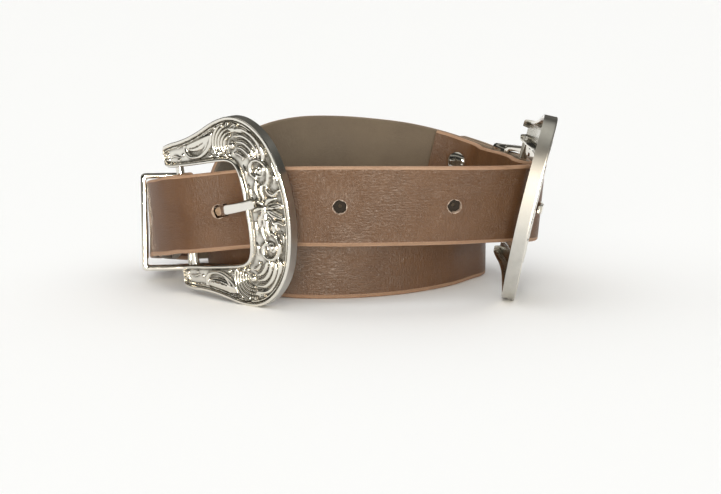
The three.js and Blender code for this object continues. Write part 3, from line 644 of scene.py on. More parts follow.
# Darker and paler tone of each finish.
GRAIN_BROWN = ((0.118, 0.05, 0.017), (0.155, 0.069, 0.024))
FLESH_BROWN = ((0.15, 0.108, 0.066), (0.185, 0.138, 0.088))
EDGE_PAINT = ((0.38, 0.21, 0.12), (0.48, 0.3, 0.19))
RAW_LEATHER = ((0.45, 0.33, 0.25), (0.60, 0.47, 0.37))
# Painted shade: the near black inside the holes and slots.
SHADED_LEATHER = ((0.016, 0.010, 0.005), (0.028, 0.018, 0.010))


def leather_material(name, dark, pale, roughness, crease_depth, pore_depth, sheen=0.0, holed=False):
    """One finish of the leather, with its depths in millimetres. A finish with holes is darker towards each
    hole and shows their raw rims.
    """
    material, tree, shader = new_material(name)
    uv = tree.nodes.new("ShaderNodeUVMap")
    uv.uv_map = "along_across"
    surface = tree.nodes.new("ShaderNodeGroup")
    surface.node_tree = leather_group
    tree.links.new(uv.outputs[0], surface.inputs["Vector"])
    clouds = remap(tree, surface.outputs["Clouds"], 0.3, 0.7)
    colour = mixed_colour(tree, clouds, dark, pale)
    # Painted shade: the leather is darker down in the creases.
    crease_shade = remap(tree, surface.outputs["Creases"], 0.25, 0.75, 0.3, 0.0)
    colour = mixed_colour(tree, crease_shade, colour, tuple(0.62 * c for c in dark))
    if holed:
        # Towards a hole the leather is darker, and the hole's torn rim is raw.
        hole_uv = tree.nodes.new("ShaderNodeUVMap")
        hole_uv.uv_map = "from_hole"
        measure = tree.nodes.new("ShaderNodeVectorMath")
        measure.operation = "LENGTH"
        tree.links.new(hole_uv.outputs[0], measure.inputs[0])
        from_hole = measure.outputs["Value"]
        darker_near_hole = remap(tree, from_hole, 2.6, 5.5, 0.35, 0.0)
        colour = mixed_colour(tree, darker_near_hole, colour, dark)
        torn = maths(tree, "MULTIPLY", noise(tree, uv.outputs[0], 3200, 3, 0.7), 1.3)
        whole = remap(tree, maths(tree, "SUBTRACT", from_hole, torn), 1.85, 2.1)
        colour = mixed_colour(tree, whole, RAW_LEATHER[1], colour)
    tree.links.new(colour, shader.inputs["Base Color"])
    rough = remap(tree, surface.outputs["Clouds"], 0.25, 0.75, roughness - 0.06, roughness + 0.06)
    tree.links.new(rough, shader.inputs["Roughness"])
    creases = raised(tree, surface.outputs["Creases"], 0.6, crease_depth)
    tree.links.new(raised(tree, surface.outputs["Pores"], 0.5, pore_depth, creases), shader.inputs["Normal"])
    shader.inputs["Specular IOR Level"].default_value = 0.4
    shader.inputs["Sheen Weight"].default_value = sheen
    return material


strap_materials = [
    leather_material("leather_grain", *GRAIN_BROWN, 0.4, 0.19, 0.03, holed=True),
    leather_material("leather_flesh", *FLESH_BROWN, 0.75, 0.05, 0.05, 0.2),
    leather_material("leather_edge_paint", *EDGE_PAINT, 0.5, 0.12, 0.06),
    leather_material("leather_punched", *RAW_LEATHER, 0.8, 0.2, 0.15),
    # The last finish is painted shade for the insides of holes and slots.
    leather_material("leather_hole_shade", *SHADED_LEATHER, 0.9, 0.2, 0.15),
]

main_strap = strap_object("main_strap_leather", *whole_main_strap(), 10, lambda gone, total: STRAP_WIDTH)
for material in strap_materials:
    main_strap.data.materials.append(material)
main_cutters = []
for side in ("left", "right"):
    swing = (PRONG_SWING[side][0], 0.0)
    main_cutters.append(box_cutter(SEATS[side], (1, 0), FOLD_SLOT, 0, swing, EDGE))
    main_cutters.append(hole_cutter(*snap_frame(side), SNAP_HOLE_RADIUS, 0.0, EDGE))
cut(main_strap, main_cutters)
finish_mesh(main_strap)
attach(main_strap, "root")
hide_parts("main_strap")


def tail(side):
    """The front strap's end behind a buckle: it lies on the outer ply and goes through the keeper."""
    distances = np.arange(0, TAIL_LENGTH + 0.1, TAIL_STEP)
    rows = [from_bar(side, distance) for distance in distances]
    lift, lift_from, lift_over = TAIL_LIFT
    away = STRAP_THICKNESS + BEND_GAP + lift * smooth_step((distances - lift_from) / lift_over)
    rise = TAIL_RISE[side] * (1 - smooth_step(distances / TAIL_RISE_OVER))
    points = [row[0] + row[3] * a + row[2] * r for row, a, r in zip(rows, away, rise)]
    return np.array(points), np.array([row[2] for row in rows])


front_parts = [
    [part[::-1] for part in tail("right")],
    buckle_rows("right", FRONT_IN_RIGHT_BUCKLE),
    route_rows(FRONT_ROUTE),
    buckle_rows("left", FRONT_IN_LEFT_BUCKLE),
    tail("left"),
]
front_points, front_wides = (np.vstack(rows) for rows in zip(*front_parts))
front_line, front_wide, front_gone = even_line(front_points, front_wides, FRONT_STEP)
front_ahead, front_wide, front_out = frames_along(front_line, front_wide)


def front_frame(place):
    return frame_at(place, front_gone, front_line, front_ahead, front_wide, front_out)


def nearest_place(point):
    """How far along the front strap the nearest place to a point lies."""
    return front_gone[np.argmin(np.linalg.norm(front_line - np.asarray(point), axis=1))]


def tip_width(gone, total):
    """The front strap's width, which narrows over both tips."""
    to_end = min(gone, total - gone)
    return TIP_WIDTH + (STRAP_WIDTH - TIP_WIDTH) * math.sqrt(min(max(to_end / TIP_LENGTH, 0), 1))


first_hole = nearest_place(FIRST_HOLE)
front_holes = [first_hole + place for place in HOLE_PLACES]
front_cutters = []
for side in ("left", "right"):
    u, w, n, tilt = PRONG_CROSSING[side]
    front_holes.append(nearest_place(on_seat(SEATS[side], u, w, n)))
    tilt = math.radians(tilt)
    # The slot's walls are painted near black as shade.
    front_cutters.append(box_cutter(SEATS[side], (u, n), HOLE_SLOT, tilt, PRONG_SWING[side], HOLE_SHADE))
for place in front_holes:
    # Each hole narrows behind the punch to a small one through the flesh side. The floor round the small
    # hole and its wall are painted near black as shade.
    front_cutters.append(hole_cutter(*front_frame(place), HOLE_RADIUS, 0.12, PUNCHED, -0.7))
    front_cutters.append(hole_cutter(*front_frame(place), LINING_HOLE_RADIUS, 0.06, HOLE_SHADE))
front_strap = strap_object("front_strap_leather", front_line, front_wide, 20, tip_width, front_holes)
for material in strap_materials:
    front_strap.data.materials.append(material)
cut(front_strap, front_cutters)
finish_mesh(front_strap)
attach(front_strap, "root")
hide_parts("front_strap")

# Buckle frames. Each is one D shaped zinc casting with its crossbar, curved gently outwards, with a
# hollow back and a face of raised leaf scrolls between plain rims. It is nickel plated and satin on its
# outer wall, with painted shade darkening the sunk ground, the hollow back and a little the crossbar.
# The right one is the same casting, turned half round.
BUCKLE_THICKNESS = 5.0
GROUND_HEIGHT = 1.2
BACK_HOLLOW = 2.2
BAR_REACH = 21.4
BAR_SIDES = 32
# Matching places on the outer and the inner outline: outer u, w, then inner u, w.
OUTLINE = [
    (-5.3, 24.8, -5.3, 20.6), (-4.6, 26.8, -4.6, 19.2), (0, 27.8, 0, 18.7), (6, 28.4, 6, 18.7),
    (12, 29.4, 12, 18.8), (18, 31, 17.5, 18.9), (24, 33.1, 22.5, 19), (29, 34.4, 26.5, 19),
    (33.5, 34.8, 29.3, 18.8), (38, 33.8, 31.3, 18.2), (42.3, 31.3, 32.7, 17.1),
    (46, 27.5, 33.6, 15.4), (49, 22.5, 34.3, 12.8), (51.3, 15.5, 34.7, 9),
    (52.8, 7.5, 34.9, 4.5), (53.2, 0, 34.9, 0),
]
# Raised strokes of the scrolls: half width, height, how sharply the ends taper, and the way.
STROKES = [
    (2.5, 1.0, 0.5, [(10.2, 25.6), (14, 26), (18.5, 27), (23, 28.6)]),
    (0.9, 1.25, 0.3, [(10.4, 28.4), (8.9, 26.4), (9.2, 23.8), (11.4, 21.9), (15, 21.5)]),
    (0.9, 1.2, 0.4, [(12.6, 21.6), (16.5, 21.8), (20.4, 23.6), (22.8, 26), (24.2, 29.4)]),
    (0.6, 0.8, 0.7, [(17.5, 22.6), (20.2, 24.9), (21.8, 27.6)]),
    (0.7, 0.9, 0.8, [(11, 29.6), (15, 29), (20, 29.6), (25.4, 31.2)]),
    (0.7, 1.2, 0.9, [(34.2, 31.4), (38, 31.9), (41.6, 30.3)]),
    (1.3, 1.0, 0.6, [(33, 30.2), (36, 30), (39, 28.6)]),
    (1.15, 1.35, 0.5, [(34, 29.4), (38.4, 29.7), (42.2, 27.6), (44.9, 24), (46, 19.6), (45.4, 17.6)]),
    (1.0, 1.2, 0.5, [(34.6, 27.4), (38.4, 27.3), (41.6, 25.2), (43.6, 21.8), (43.9, 19)]),
    (0.95, 1.15, 0.5, [(35.4, 25.4), (38.5, 24.8), (40.9, 22.6), (42, 19.4)]),
    (0.85, 1.05, 0.5, [(35.2, 23.4), (37.6, 22.7), (39.5, 20.8), (40.3, 18.6)]),
    (0.75, 0.95, 0.6, [(33.6, 21.4), (35.8, 20.9), (37.8, 19)]),
    (0.9, 1.3, 0.3, [(41.4, 18.3), (39.8, 16.4), (39.8, 13.6), (41.4, 11.6)]),
    (0.9, 1.3, 0.3, [(40.4, 17.6), (43.2, 18), (45.9, 16.2), (46.9, 13.4), (46.2, 10.4)]),
    (1.9, 0.85, 0.2, [(42.4, 13), (44, 14.6)]),
    (0.8, 1.25, 0.5, [(46.4, 11.4), (45.4, 9.2), (43.6, 8.6)]),
    (0.85, 1.2, 0.5, [(41.3, 11), (40.7, 8), (41.2, 4.6)]),
    (0.95, 1.25, 0.5, [(43.3, 9.4), (42.9, 6.8), (43.4, 3.8)]),
    (0.85, 1.2, 0.5, [(45.4, 8.6), (45.5, 6.4), (47.4, 5), (49.8, 6.2)]),
    (0.6, 0.9, 0.8, [(48.2, 8.6), (49, 10.6), (48.4, 12.6)]),
    (0.55, 0.7, 0.9, [(37, 11.6), (37.2, 14), (36.6, 16.6)]),
    (0.55, 0.6, 0.9, [(37.8, 4), (37.9, 7), (37.4, 9.6)]),
    (0.5, 0.6, 0.9, [(-1.5, 22.2), (1.5, 22.8), (5, 22)]),
    (0.5, 0.5, 0.9, [(-2.5, 25.2), (1.5, 26), (6, 25.6)]),
    (0.45, 0.5, 0.9, [(48.6, 22.6), (49.4, 18.4), (49.3, 14.4)]),
]
# The comb of thin arcs round the first curl: centre, radii of the arcs, and their angles.
COMB_CENTRE = (33.2, 24.4)
COMB_RADII = [3.4, 4.75, 6.1, 7.45, 8.8]
COMB_ANGLES = (205, 92)
for comb_radius in COMB_RADII:
    angles = np.radians(np.linspace(*COMB_ANGLES, 5))
    way = [
        (COMB_CENTRE[0] + comb_radius * math.cos(a), COMB_CENTRE[1] + comb_radius * math.sin(a))
        for a in angles
    ]
    STROKES.append((0.56, 1.2, 0.4, way))
# Petals of the flower on the middle of the limb, from its heart outwards.
PETALS = [
    (1.35, 1.3, 0.6, [(44.2, 0.6), (47.2, 1), (50.6, 0.5)]),
    (1.3, 1.3, 0.6, [(44.2, -0.5), (47, -2.2), (50.6, -4.2)]),
    (1.35, 1.3, 0.6, [(43.8, -1), (45.4, -4), (46.9, -7.6)]),
    (1.15, 1.2, 0.6, [(42.8, -1.4), (42.4, -4.4), (42.9, -7.4)]),
    (1.05, 1.1, 0.6, [(41.9, -0.8), (40.4, -3.2), (39.6, -6)]),
    (1.0, 1.1, 0.6, [(41.6, 0.6), (39.8, 0.6), (38.2, -0.2)]),
    (1.1, 1.15, 0.6, [(43.6, 1.8), (45.4, 3.4), (48, 3.6)]),
    (0.95, 1.1, 0.6, [(42.3, 2), (41, 3.2), (39.4, 3.6)]),
]
# Veins pressed into the leaves: half width, depth and the way.
VEINS = [
    (0.28, 0.45, [(11, 25), (15, 25.2), (19.5, 26.6)]),
    (0.3, 0.5, [(35.5, 30.6), (39.4, 30.4), (42.8, 28)]),
    (0.3, 0.5, [(43.2, 15), (44.2, 14), (43.4, 12.6), (42, 13.4), (42.2, 15.2)]),
    (0.25, 0.5, [(44.6, 0.7), (49.4, 0.7)]),
    (0.25, 0.5, [(44.2, -2), (46.4, -6.6)]),
    (0.25, 0.45, [(45, -0.9), (49.6, -3.6)]),
    (0.2, 0.3, [(47.2, 22), (49.6, 20.6)]),
    (0.2, 0.3, [(47.6, 17.4), (50.4, 18.8)]),
    (0.2, 0.3, [(47.4, 15.2), (50.2, 12.4)]),
    (0.2, 0.3, [(47.6, 10.8), (50.6, 9)]),
]
# Round beads: u, w, radius, height.
BEADS = [
    (21.8, 21.4, 0.8, 1.0), (23.9, 22.4, 0.75, 1.0), (25.4, 21.1, 0.7, 0.9), (27.3, 22.2, 0.85, 1.0),
    (29.2, 21.2, 0.8, 1.0), (31.2, 21.1, 0.75, 0.9), (33.0, 24.4, 1.5, 1.35), (42.6, 0.6, 1.35, 1.35),
    (-3.4, 21.6, 0.7, 0.8), (-3.5, 23.6, 0.6, 0.7), (3.2, 21.2, 0.75, 0.7), (6.2, 22.9, 0.7, 0.7),
    (26.0, 31.2, 0.6, 0.8), (29.5, 32.0, 0.65, 0.9), (32.2, 32.3, 0.7, 0.9), (50.4, 8.2, 0.5, 0.7),
    (41.0, 19.2, 0.6, 0.9), (38.6, 21.0, 0.4, 0.6), (36.8, 18.8, 0.5, 0.6),
]


def stroke_height(u, w, half_width, height, taper, way):
    """A rounded ridge along a smooth way, thinner towards both ends."""
    way = centripetal(np.array([(a, b, 0.0) for a, b in way], dtype=float), 7)[:, :2]
    along = np.linspace(0, 1, len(way))
    best = np.zeros_like(u)
    for i in range(len(way) - 1):
        a, b = way[i], way[i + 1]
        span = b - a
        t = np.clip(((u - a[0]) * span[0] + (w - a[1]) * span[1]) / (span @ span), 0, 1)
        far = np.hypot(u - a[0] - t * span[0], w - a[1] - t * span[1])
        place = along[i] + (along[i + 1] - along[i]) * t
        share = np.sin(np.pi * np.clip(0.08 + 0.84 * place, 0, 1)) ** taper
        wide = half_width * share
        dome = np.sqrt(np.clip(1 - (far / wide) ** 2, 0, 1))
        best = np.maximum(best, height * (0.35 + 0.65 * share) * dome)
    return best


def relief(u, w):
    """Height of the scrolls over the sunk ground. The lower half mirrors the upper one."""
    high = np.abs(w)
    total = np.zeros_like(u)
    for half_width, height, taper, way in STROKES:
        total = np.maximum(total, stroke_height(u, high, half_width, height, taper, way))
    for half_width, height, taper, way in PETALS:
        total = np.maximum(total, stroke_height(u, w, half_width, height, taper, way))
    for bead_u, bead_w, radius, height in BEADS:
        far = np.hypot(u - bead_u, high - bead_w) / radius
        total = np.maximum(total, height * np.sqrt(np.clip(1 - far**2, 0, 1)))
    for half_width, depth, way in VEINS:
        side = w if way[0][1] < 1 else high
        total = total - stroke_height(u, side, half_width, depth, 0.3, way)
    return total


# Across the band, as distances in mm from each edge, with the height of the plain rims there.
RIM_FROM_OUTSIDE = [
    (0, 0.8), (0.12, 0.96), (0.3, 1.0), (0.95, 0.98), (1.2, 0.85), (1.42, 0.15), (1.6, 0.15),
    (1.8, 0.6), (2.1, 0.65), (2.4, 0.1), (2.6, 0),
]
RIM_FROM_INSIDE = [(0, 0.6), (0.2, 0.9), (0.6, 1.0), (1.1, 0.9), (1.45, 0.4), (1.8, 0)]


def plate_outline(columns, samples):
    """One edge of the plate, from the upper arm's end round to the lower one's, as a smooth curve."""
    table = np.array(OUTLINE)[:, columns]
    lower = (table[:-1] * [1, -1])[::-1]
    points = np.vstack([table, lower])
    padded = np.vstack([2 * points[0] - points[1], points, 2 * points[-1] - points[-2]])
    places = np.linspace(0, len(points) - 1, samples)
    result = []
    for place in places:
        i = min(int(place), len(points) - 2)
        p0, p1, p2, p3 = padded[i : i + 4]
        result.append(cubic(p1, p2, 0.5 * (p2 - p0), 0.5 * (p3 - p1), place - i))
    return np.array(result)


OUTER_RIM_WIDTH = 2.4
INNER_RIM_WIDTH = 1.6
# Over how many stations the rim across an arm's end falls off, and how high the scrolls may rise.
END_RIM_STATIONS = 14.832
SCROLL_TOP = 1.35
PLATE_STATIONS = 620
FACE_COLUMNS = 84
top_height = BUCKLE_THICKNESS / 2
outer_edge = plate_outline([0, 1], PLATE_STATIONS)
inner_edge = plate_outline([2, 3], PLATE_STATIONS)
share = np.linspace(0, 1, FACE_COLUMNS)
share = 0.5 - 0.5 * np.cos(np.pi * share) * (0.35 + 0.65 * np.abs(np.cos(np.pi * share)) ** 0.2)
share = (share - share[0]) / (share[-1] - share[0])
band = np.linalg.norm(outer_edge - inner_edge, axis=1)[:, None]
face_u = inner_edge[:, :1] + (outer_edge - inner_edge)[:, :1] * share
face_w = inner_edge[:, 1:] + (outer_edge - inner_edge)[:, 1:] * share
from_outside = band * (1 - share)
from_inside = band * share
outer_rim = np.interp(from_outside, *np.array(RIM_FROM_OUTSIDE).T)
inner_rim = np.interp(from_inside, *np.array(RIM_FROM_INSIDE).T)
rim = np.maximum(outer_rim, inner_rim)
end_rim = np.clip(1 - (np.arange(PLATE_STATIONS)[:, None] / END_RIM_STATIONS) ** 2, 0, 1)
end_rim = np.maximum(end_rim, end_rim[::-1])
rim = np.maximum(rim, end_rim * 0.9)
clear = np.minimum(from_outside - OUTER_RIM_WIDTH, from_inside - INNER_RIM_WIDTH)
scrolls = relief(face_u, face_w) * smooth_step(clear / 0.5 + 0.5)
scrolls = np.minimum(scrolls, SCROLL_TOP)
face_n = GROUND_HEIGHT + np.maximum((top_height - GROUND_HEIGHT) * rim, scrolls)


def crevices(heights):
    """Where the face lies lower than what is round it: 0 on crests, 1 in the deepest creases."""
    spread = blur(blur(heights, 2.6).T, 4.0).T
    return np.clip((spread - heights) / 0.35, 0, 1)


# How far each point of the face lies below what is round it; the plating is painted darker there as shade.
sunk = crevices(face_n)
# Kinds of surface, in the order of a buckle's materials.
PLATED, WALL = range(2)
# Heights of the rows that keep the outer wall flat.
WALL_SUPPORTS = [top_height - 0.75, 0.4 - top_height]
# The back: a flat lip along both edges and one smooth hollow between them.
BACK_SHARES = [1.0, 0.97, 0.92, 0.87, 0.83, 0.79, 0.7, 0.5, 0.3, 0.21, 0.17, 0.13, 0.08, 0.03, 0.0]
back_depths = [BACK_HOLLOW * float(smooth_step((min(s, 1 - s) - 0.09) / 0.12)) for s in BACK_SHARES]
# The deep middle of the hollow back is painted darker as shade.
back_shade = [0.3 * (depth > 1) for depth in back_depths]


def buckle_mesh(name, seat):
    """The plate as rings round its section, and the crossbar as a rod between its arms."""
    verts, shade_amounts = [], []
    for i in range(PLATE_STATIONS):
        us = list(face_u[i])
        ws = list(face_w[i])
        ns = list(face_n[i])
        for height in WALL_SUPPORTS:
            us.append(outer_edge[i, 0])
            ws.append(outer_edge[i, 1])
            ns.append(height)
        for s, depth in zip(BACK_SHARES, back_depths):
            spot = inner_edge[i] + (outer_edge[i] - inner_edge[i]) * s
            us.append(spot[0])
            ws.append(spot[1])
            ns.append(-top_height + depth)
        ring = on_seat(seat, us, np.array(ws) * seat["side"], ns)
        verts.extend(in_metres(ring))
        shade_amounts.extend(list(sunk[i]) + [0.0] * len(WALL_SUPPORTS) + back_shade)
    size = FACE_COLUMNS + len(WALL_SUPPORTS) + len(BACK_SHARES)
    faces, kinds = [], []
    for i in range(PLATE_STATIONS - 1):
        for k in range(size):
            a, b = i * size + k, i * size + (k + 1) % size
            faces.append((a, a + size, b + size, b))
            on_wall = FACE_COLUMNS - 1 <= k < FACE_COLUMNS + len(WALL_SUPPORTS)
            kinds.append(WALL if on_wall else PLATED)
    last = (PLATE_STATIONS - 1) * size
    faces.append(tuple(range(size)))
    faces.append(tuple(last + k for k in range(size))[::-1])
    start = len(verts)
    angles = np.linspace(0, 2 * math.pi, BAR_SIDES, endpoint=False)
    for reach in (-BAR_REACH, BAR_REACH):
        us = BAR_PLACE + BAR_RADIUS * np.cos(angles)
        ns = BAR_HEIGHT + BAR_RADIUS * np.sin(angles)
        verts.extend(in_metres(on_seat(seat, us, np.full(BAR_SIDES, reach * seat["side"]), ns)))
        # The crossbar is painted a little darker as shade.
        shade_amounts.extend([0.1] * BAR_SIDES)
    for k in range(BAR_SIDES):
        a, b = start + k, start + (k + 1) % BAR_SIDES
        faces.append((a, a + BAR_SIDES, b + BAR_SIDES, b))
    faces.append(tuple(range(start, start + BAR_SIDES)))
    faces.append(tuple(range(start + BAR_SIDES, start + 2 * BAR_SIDES))[::-1])
    kinds += [PLATED] * (len(faces) - len(kinds))
    obj = new_mesh(name, verts, faces, kinds)
    tone = obj.data.attributes.new("sunk", "FLOAT", "POINT")
    tone.data.foreach_set("value", shade_amounts)
    return obj


def metal_material(name, roughness):
    """Bare shiny metal with faint smudges, and what a finish needs to be built on it."""
    material, tree, shader = new_material(name)
    place = tree.nodes.new("ShaderNodeTexCoord").outputs["Object"]
    smudges = noise(tree, place, 90, 4, 0.6)
    shader.inputs["Metallic"].default_value = 1.0
    rough = remap(tree, smudges, 0.3, 0.7, roughness - 0.04, roughness + 0.05)
    return material, tree, shader, place, smudges, rough


def cast_metal(name, tone, shade_tone, roughness):
    """Plating on the casting's face: painted darker as shade, rougher and specked where the relief is sunk.
    """
    material, tree, shader, place, _, rough = metal_material(name, roughness)
    depth = tree.nodes.new("ShaderNodeAttribute")
    depth.attribute_name = "sunk"
    speck = noise(tree, place, 2600, 2, 0.7)
    # The plating is painted darker as shade where the relief is sunk.
    painted_shade = remap(tree, depth.outputs["Fac"], 0.05, 0.8, 0.0, 0.9)
    painted_shade = maths(tree, "MULTIPLY", painted_shade, remap(tree, speck, 0.3, 0.6, 0.6, 1.0))
    tree.links.new(mixed_colour(tree, painted_shade, tone, shade_tone), shader.inputs["Base Color"])
    rough = maths(tree, "ADD", rough, maths(tree, "MULTIPLY", painted_shade, 0.25))
    tree.links.new(rough, shader.inputs["Roughness"])
    # Patches of the plain parts keep the grain of the mould.
    grainy = remap(tree, noise(tree, place, 45, 2), 0.46, 0.54, 0.0, 0.7)
    height = maths(tree, "MULTIPLY", speck, maths(tree, "MAXIMUM", painted_shade, grainy))
    tree.links.new(raised(tree, height, 0.7, 0.12), shader.inputs["Normal"])
    return material


def plain_metal(name, tone, smudge_tone, roughness, ripple):
    """Even plating with smudges, and faint ripples with a depth in millimetres."""
    material, tree, shader, place, smudges, rough = metal_material(name, roughness)
    colour = mixed_colour(tree, remap(tree, smudges, 0.4, 0.8), tone, smudge_tone)
    tree.links.new(colour, shader.inputs["Base Color"])
    tree.links.new(rough, shader.inputs["Roughness"])
    tree.links.new(raised(tree, noise(tree, place, 1800, 2), 0.4, ripple), shader.inputs["Normal"])
    return material


# The second tone is the painted shade of the sunk relief, the hollow back and the crossbar.
cast_nickel = cast_metal("cast_nickel", (0.80, 0.77, 0.70), (0.10, 0.085, 0.06), 0.06)
plain_nickel = plain_metal("plain_nickel", (0.82, 0.79, 0.73), (0.76, 0.725, 0.66), 0.07, 0.01)
# The outer wall is only tumbled, so it is satin where the face is bright.
tumbled_nickel = plain_metal("tumbled_nickel", (0.61, 0.602, 0.57), (0.46, 0.452, 0.42), 0.31, 0.02)

for side in ("left", "right"):
    buckle = buckle_mesh(f"buckle_casting_{side}", SEATS[side])
    buckle.data.materials.append(cast_nickel)
    buckle.data.materials.append(tumbled_nickel)
    finish_mesh(buckle, 50)
    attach(buckle, "root")
    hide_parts(f"buckle_frame_{side}")

# Prongs. Each is one flat nickel plated tongue, bent round the crossbar at its root and thinner at
# its squared tip, which lies on the frame's inner rim.
PRONG_EYE_RADIUS = 2.68
PRONG_EYE_THICKNESS = 1.6
PRONG_TIP = 40.5
# The tip's last rows, over which it narrows to this share of the width, and over what length.
PRONG_TIP_ROWS = 12
PRONG_TIP_SHARE = 0.72
PRONG_TIP_LENGTH = 0.9
# Rows of u, n and thickness, from where the tongue leaves the eye to its tip.
PRONG_LINE = [
    (2.5, -3.45, 1.8), (9, -2.6, 2.2), (14, -2.2, 2.2), (19.5, -0.7, 2.2), (26, 2.1, 2.2),
    (31, 3.7, 2.1), (35, 4.1, 1.8), (38, 3.95, 1.5), (PRONG_TIP, 3.7, 1.4),
]
# The lower half of the prong's section, whose corners are rounded: across the width, and out from
# the middle line as a share of half the thickness.
PRONG_HALF = PRONG_WIDTH / 2
PRONG_CORNERS = [
    (-PRONG_HALF, -0.6), (-PRONG_HALF + 0.12, -0.88), (-PRONG_HALF + 0.45, -1),
    (PRONG_HALF - 0.45, -1), (PRONG_HALF - 0.12, -0.88), (PRONG_HALF, -0.6),
]
prong_section = PRONG_CORNERS + [(w, -h) for w, h in reversed(PRONG_CORNERS)]
for side in ("left", "right"):
    seat = SEATS[side]
    swing = PRONG_SWING[side]
    angles = np.radians(np.arange(5, 271, 12))
    eye = np.stack(
        [
            BAR_PLACE + PRONG_EYE_RADIUS * np.cos(angles),
            BAR_HEIGHT + PRONG_EYE_RADIUS * np.sin(angles),
            np.full(len(angles), PRONG_EYE_THICKNESS),
        ],
        axis=1,
    )
    tongue = centripetal(np.vstack([eye[-1], np.array(PRONG_LINE)]), 8)[1:]
    line = np.vstack([eye, tongue])
    along = unit(np.gradient(line[:, :2], axis=0))
    normal = np.stack([-along[:, 1], along[:, 0]], axis=1)
    verts = []
    for i in range(len(line)):
        near_tip = i > len(line) - PRONG_TIP_ROWS
        to_tip = (PRONG_TIP - line[i, 0]) / PRONG_TIP_LENGTH if near_tip else 1.0
        slim = PRONG_TIP_SHARE + (1 - PRONG_TIP_SHARE) * math.sqrt(min(max(to_tip, 0), 1))
        for w, h in prong_section:
            u = line[i, 0] + normal[i, 0] * h * line[i, 2] / 2
            n = line[i, 1] + normal[i, 1] * h * line[i, 2] / 2
            w_place = w * slim * seat["side"] + swing[0] + swing[1] * u
            verts.append(in_metres(on_seat(seat, u, w_place, n)))
    prong = new_mesh(f"prong_tongue_{side}", verts, swept_faces(len(line), len(prong_section)))
    prong.data.materials.append(plain_nickel)
    finish_mesh(prong, 40)
    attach(prong, "root")
    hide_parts(f"prong_{side}")

# Keepers. Each is a 9 mm strip of nickel plated metal bent into a rectangle round the strap and the
# front strap's end. It hangs loose on the strap's upper edge, a little tilted and turned.
KEEPER_WALL = 2.1
KEEPER_WIDTH = 9.0
KEEPER_HIGH = 34.0
# Distance from the bar, outward from the outer ply, clear thickness inside, the share of the strap's
# slope that it leaves out, and its roll and yaw on the strap.
KEEPERS = {"left": (29.0, -2.8, 15.8, 0.5, 2.0, -2.0), "right": (25.0, 3.2, 10.4, 0.45, 0.0, 0.0)}
KEEPER_EDGE = 0.4
KEEPER_CLEAR = 0.45
KEEPER_INNER_CORNER = 0.7


def rounded_loop(width, height, radius, steps):
    """A rectangle with rounded corners, as points all round."""
    points = []
    for k, (sx, sy) in enumerate(((1, -1), (1, 1), (-1, 1), (-1, -1))):
        centre = (sx * (width / 2 - radius), sy * (height / 2 - radius))
        for j in range(steps + 1):
            angle = math.radians(-90 + 90 * k + 90 * j / steps)
            points.append((centre[0] + radius * math.cos(angle), centre[1] + radius * math.sin(angle)))
    return points


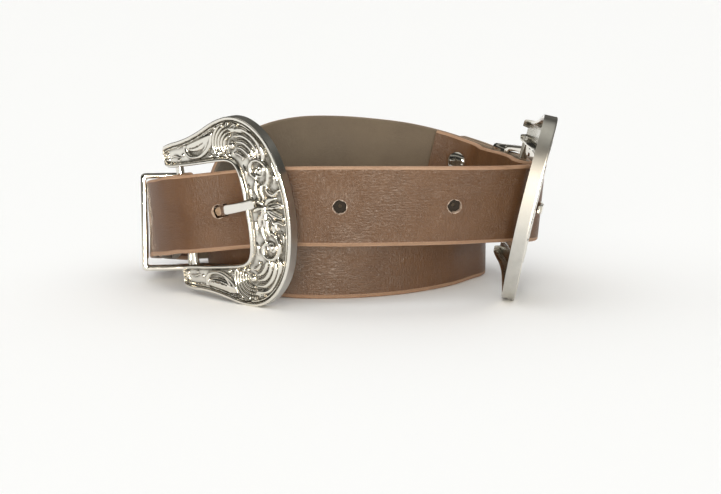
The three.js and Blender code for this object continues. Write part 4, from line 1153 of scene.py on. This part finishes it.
for side in ("left", "right"):
    place, outward, thick, plumb, roll, yaw = KEEPERS[side]
    point, ahead, wide, out = from_bar(side, place)
    slope = plumb * math.asin(np.cross(wide, out)[2])
    roll, yaw = math.radians(roll), math.radians(yaw)
    tilted = KEEPER_WIDTH / 2 * abs(math.tan(slope)) + thick / 2 * abs(math.tan(roll))
    rise = STRAP_WIDTH / 2 / math.cos(slope) + tilted + KEEPER_CLEAR
    turn = Matrix.Rotation(yaw, 3, "Y") @ Matrix.Rotation(-slope, 3, "X") @ Matrix.Rotation(roll, 3, "Z")
    turned_out, turned_wide, turned_through = (
        out * axis[0] + wide * axis[1] + np.cross(out, wide) * axis[2] for axis in turn.transposed()
    )
    half = KEEPER_WIDTH / 2
    # The strip's section, from its inner face round to its outer face: depth in the wall, and along.
    e = KEEPER_EDGE
    section = [(0, -half + e), (e * 0.3, -half + e * 0.3), (e, -half), (KEEPER_WALL - e, -half)]
    section += [(KEEPER_WALL - e * 0.3, -half + e * 0.3), (KEEPER_WALL, -half + e)]
    section += [(depth, -along) for depth, along in reversed(section)]
    verts = []
    for depth, along in section:
        radius = KEEPER_INNER_CORNER + depth * 0.55
        loop = rounded_loop(thick + 2 * depth, KEEPER_HIGH + 2 * depth, radius, 6)
        for x, y in loop:
            spot = point + out * outward + turned_out * x + turned_wide * (y + rise - KEEPER_HIGH / 2)
            verts.append(in_metres(spot + turned_through * along))
    count = len(loop)
    faces = []
    for i in range(len(section)):
        for k in range(count):
            a, b = i * count + k, i * count + (k + 1) % count
            c = ((i + 1) % len(section)) * count
            faces.append((a, c + k, c + (k + 1) % count, b))
    keeper = new_mesh(f"keeper_loop_{side}", verts, faces)
    keeper.data.materials.append(plain_nickel)
    finish_mesh(keeper, 40)
    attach(keeper, "root")
    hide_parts(f"keeper_{side}")

# Press snaps. Each is a small nickel plated cap outside and a domed one inside, pressed together
# through both plies of the fold. The domed one shows on the inside of the belt.
SNAP_INSIDE = -(1.5 * STRAP_THICKNESS + 3 * BEND_GAP)
SNAP_OUTSIDE = STRAP_THICKNESS / 2 + 0.3
# Rows of radius and height: the inner dome from its middle outwards, then the outer cap inwards.
SNAP_DOME = [
    (0, 1.3), (1.0, 1.27), (1.9, 1.17), (2.6, 1.0), (3.1, 0.8), (3.5, 0.56), (3.75, 0.36),
    (3.88, 0.18), (3.9, 0.08), (3.9, 0), (1.7, 0),
]
SNAP_CAP = [
    (1.7, 0), (3.8, 0), (3.9, 0.15), (3.8, 0.4), (3.2, 0.75), (2.2, 0.98), (1.1, 1.08), (0, 1.1),
]
snap_profile = [(radius, SNAP_INSIDE - high) for radius, high in SNAP_DOME]
snap_profile += [(radius, SNAP_OUTSIDE + high) for radius, high in SNAP_CAP]
SNAP_SIDES = 48
for side in ("left", "right"):
    point, ahead, wide, out = snap_frame(side)
    verts = [in_metres(point + out * snap_profile[0][1])]
    for radius, away in snap_profile[1:-1]:
        for k in range(SNAP_SIDES):
            angle = 2 * math.pi * k / SNAP_SIDES
            spot = point + out * away + ahead * radius * math.cos(angle) + wide * radius * math.sin(angle)
            verts.append(in_metres(spot))
    verts.append(in_metres(point + out * snap_profile[-1][1]))
    faces = []
    last = len(verts) - 1
    rows = len(snap_profile) - 2
    for k in range(SNAP_SIDES):
        j = (k + 1) % SNAP_SIDES
        faces.append((0, 1 + k, 1 + j))
        faces.append((last, last - SNAP_SIDES + j, last - SNAP_SIDES + k))
        for i in range(rows - 1):
            a = 1 + i * SNAP_SIDES
            faces.append((a + k, a + SNAP_SIDES + k, a + SNAP_SIDES + j, a + j))
    snap = new_mesh(f"press_snap_{side}", verts, faces)
    snap.data.materials.append(plain_nickel)
    finish_mesh(snap, 40)
    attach(snap, "root")
    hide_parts(f"snap_{side}")
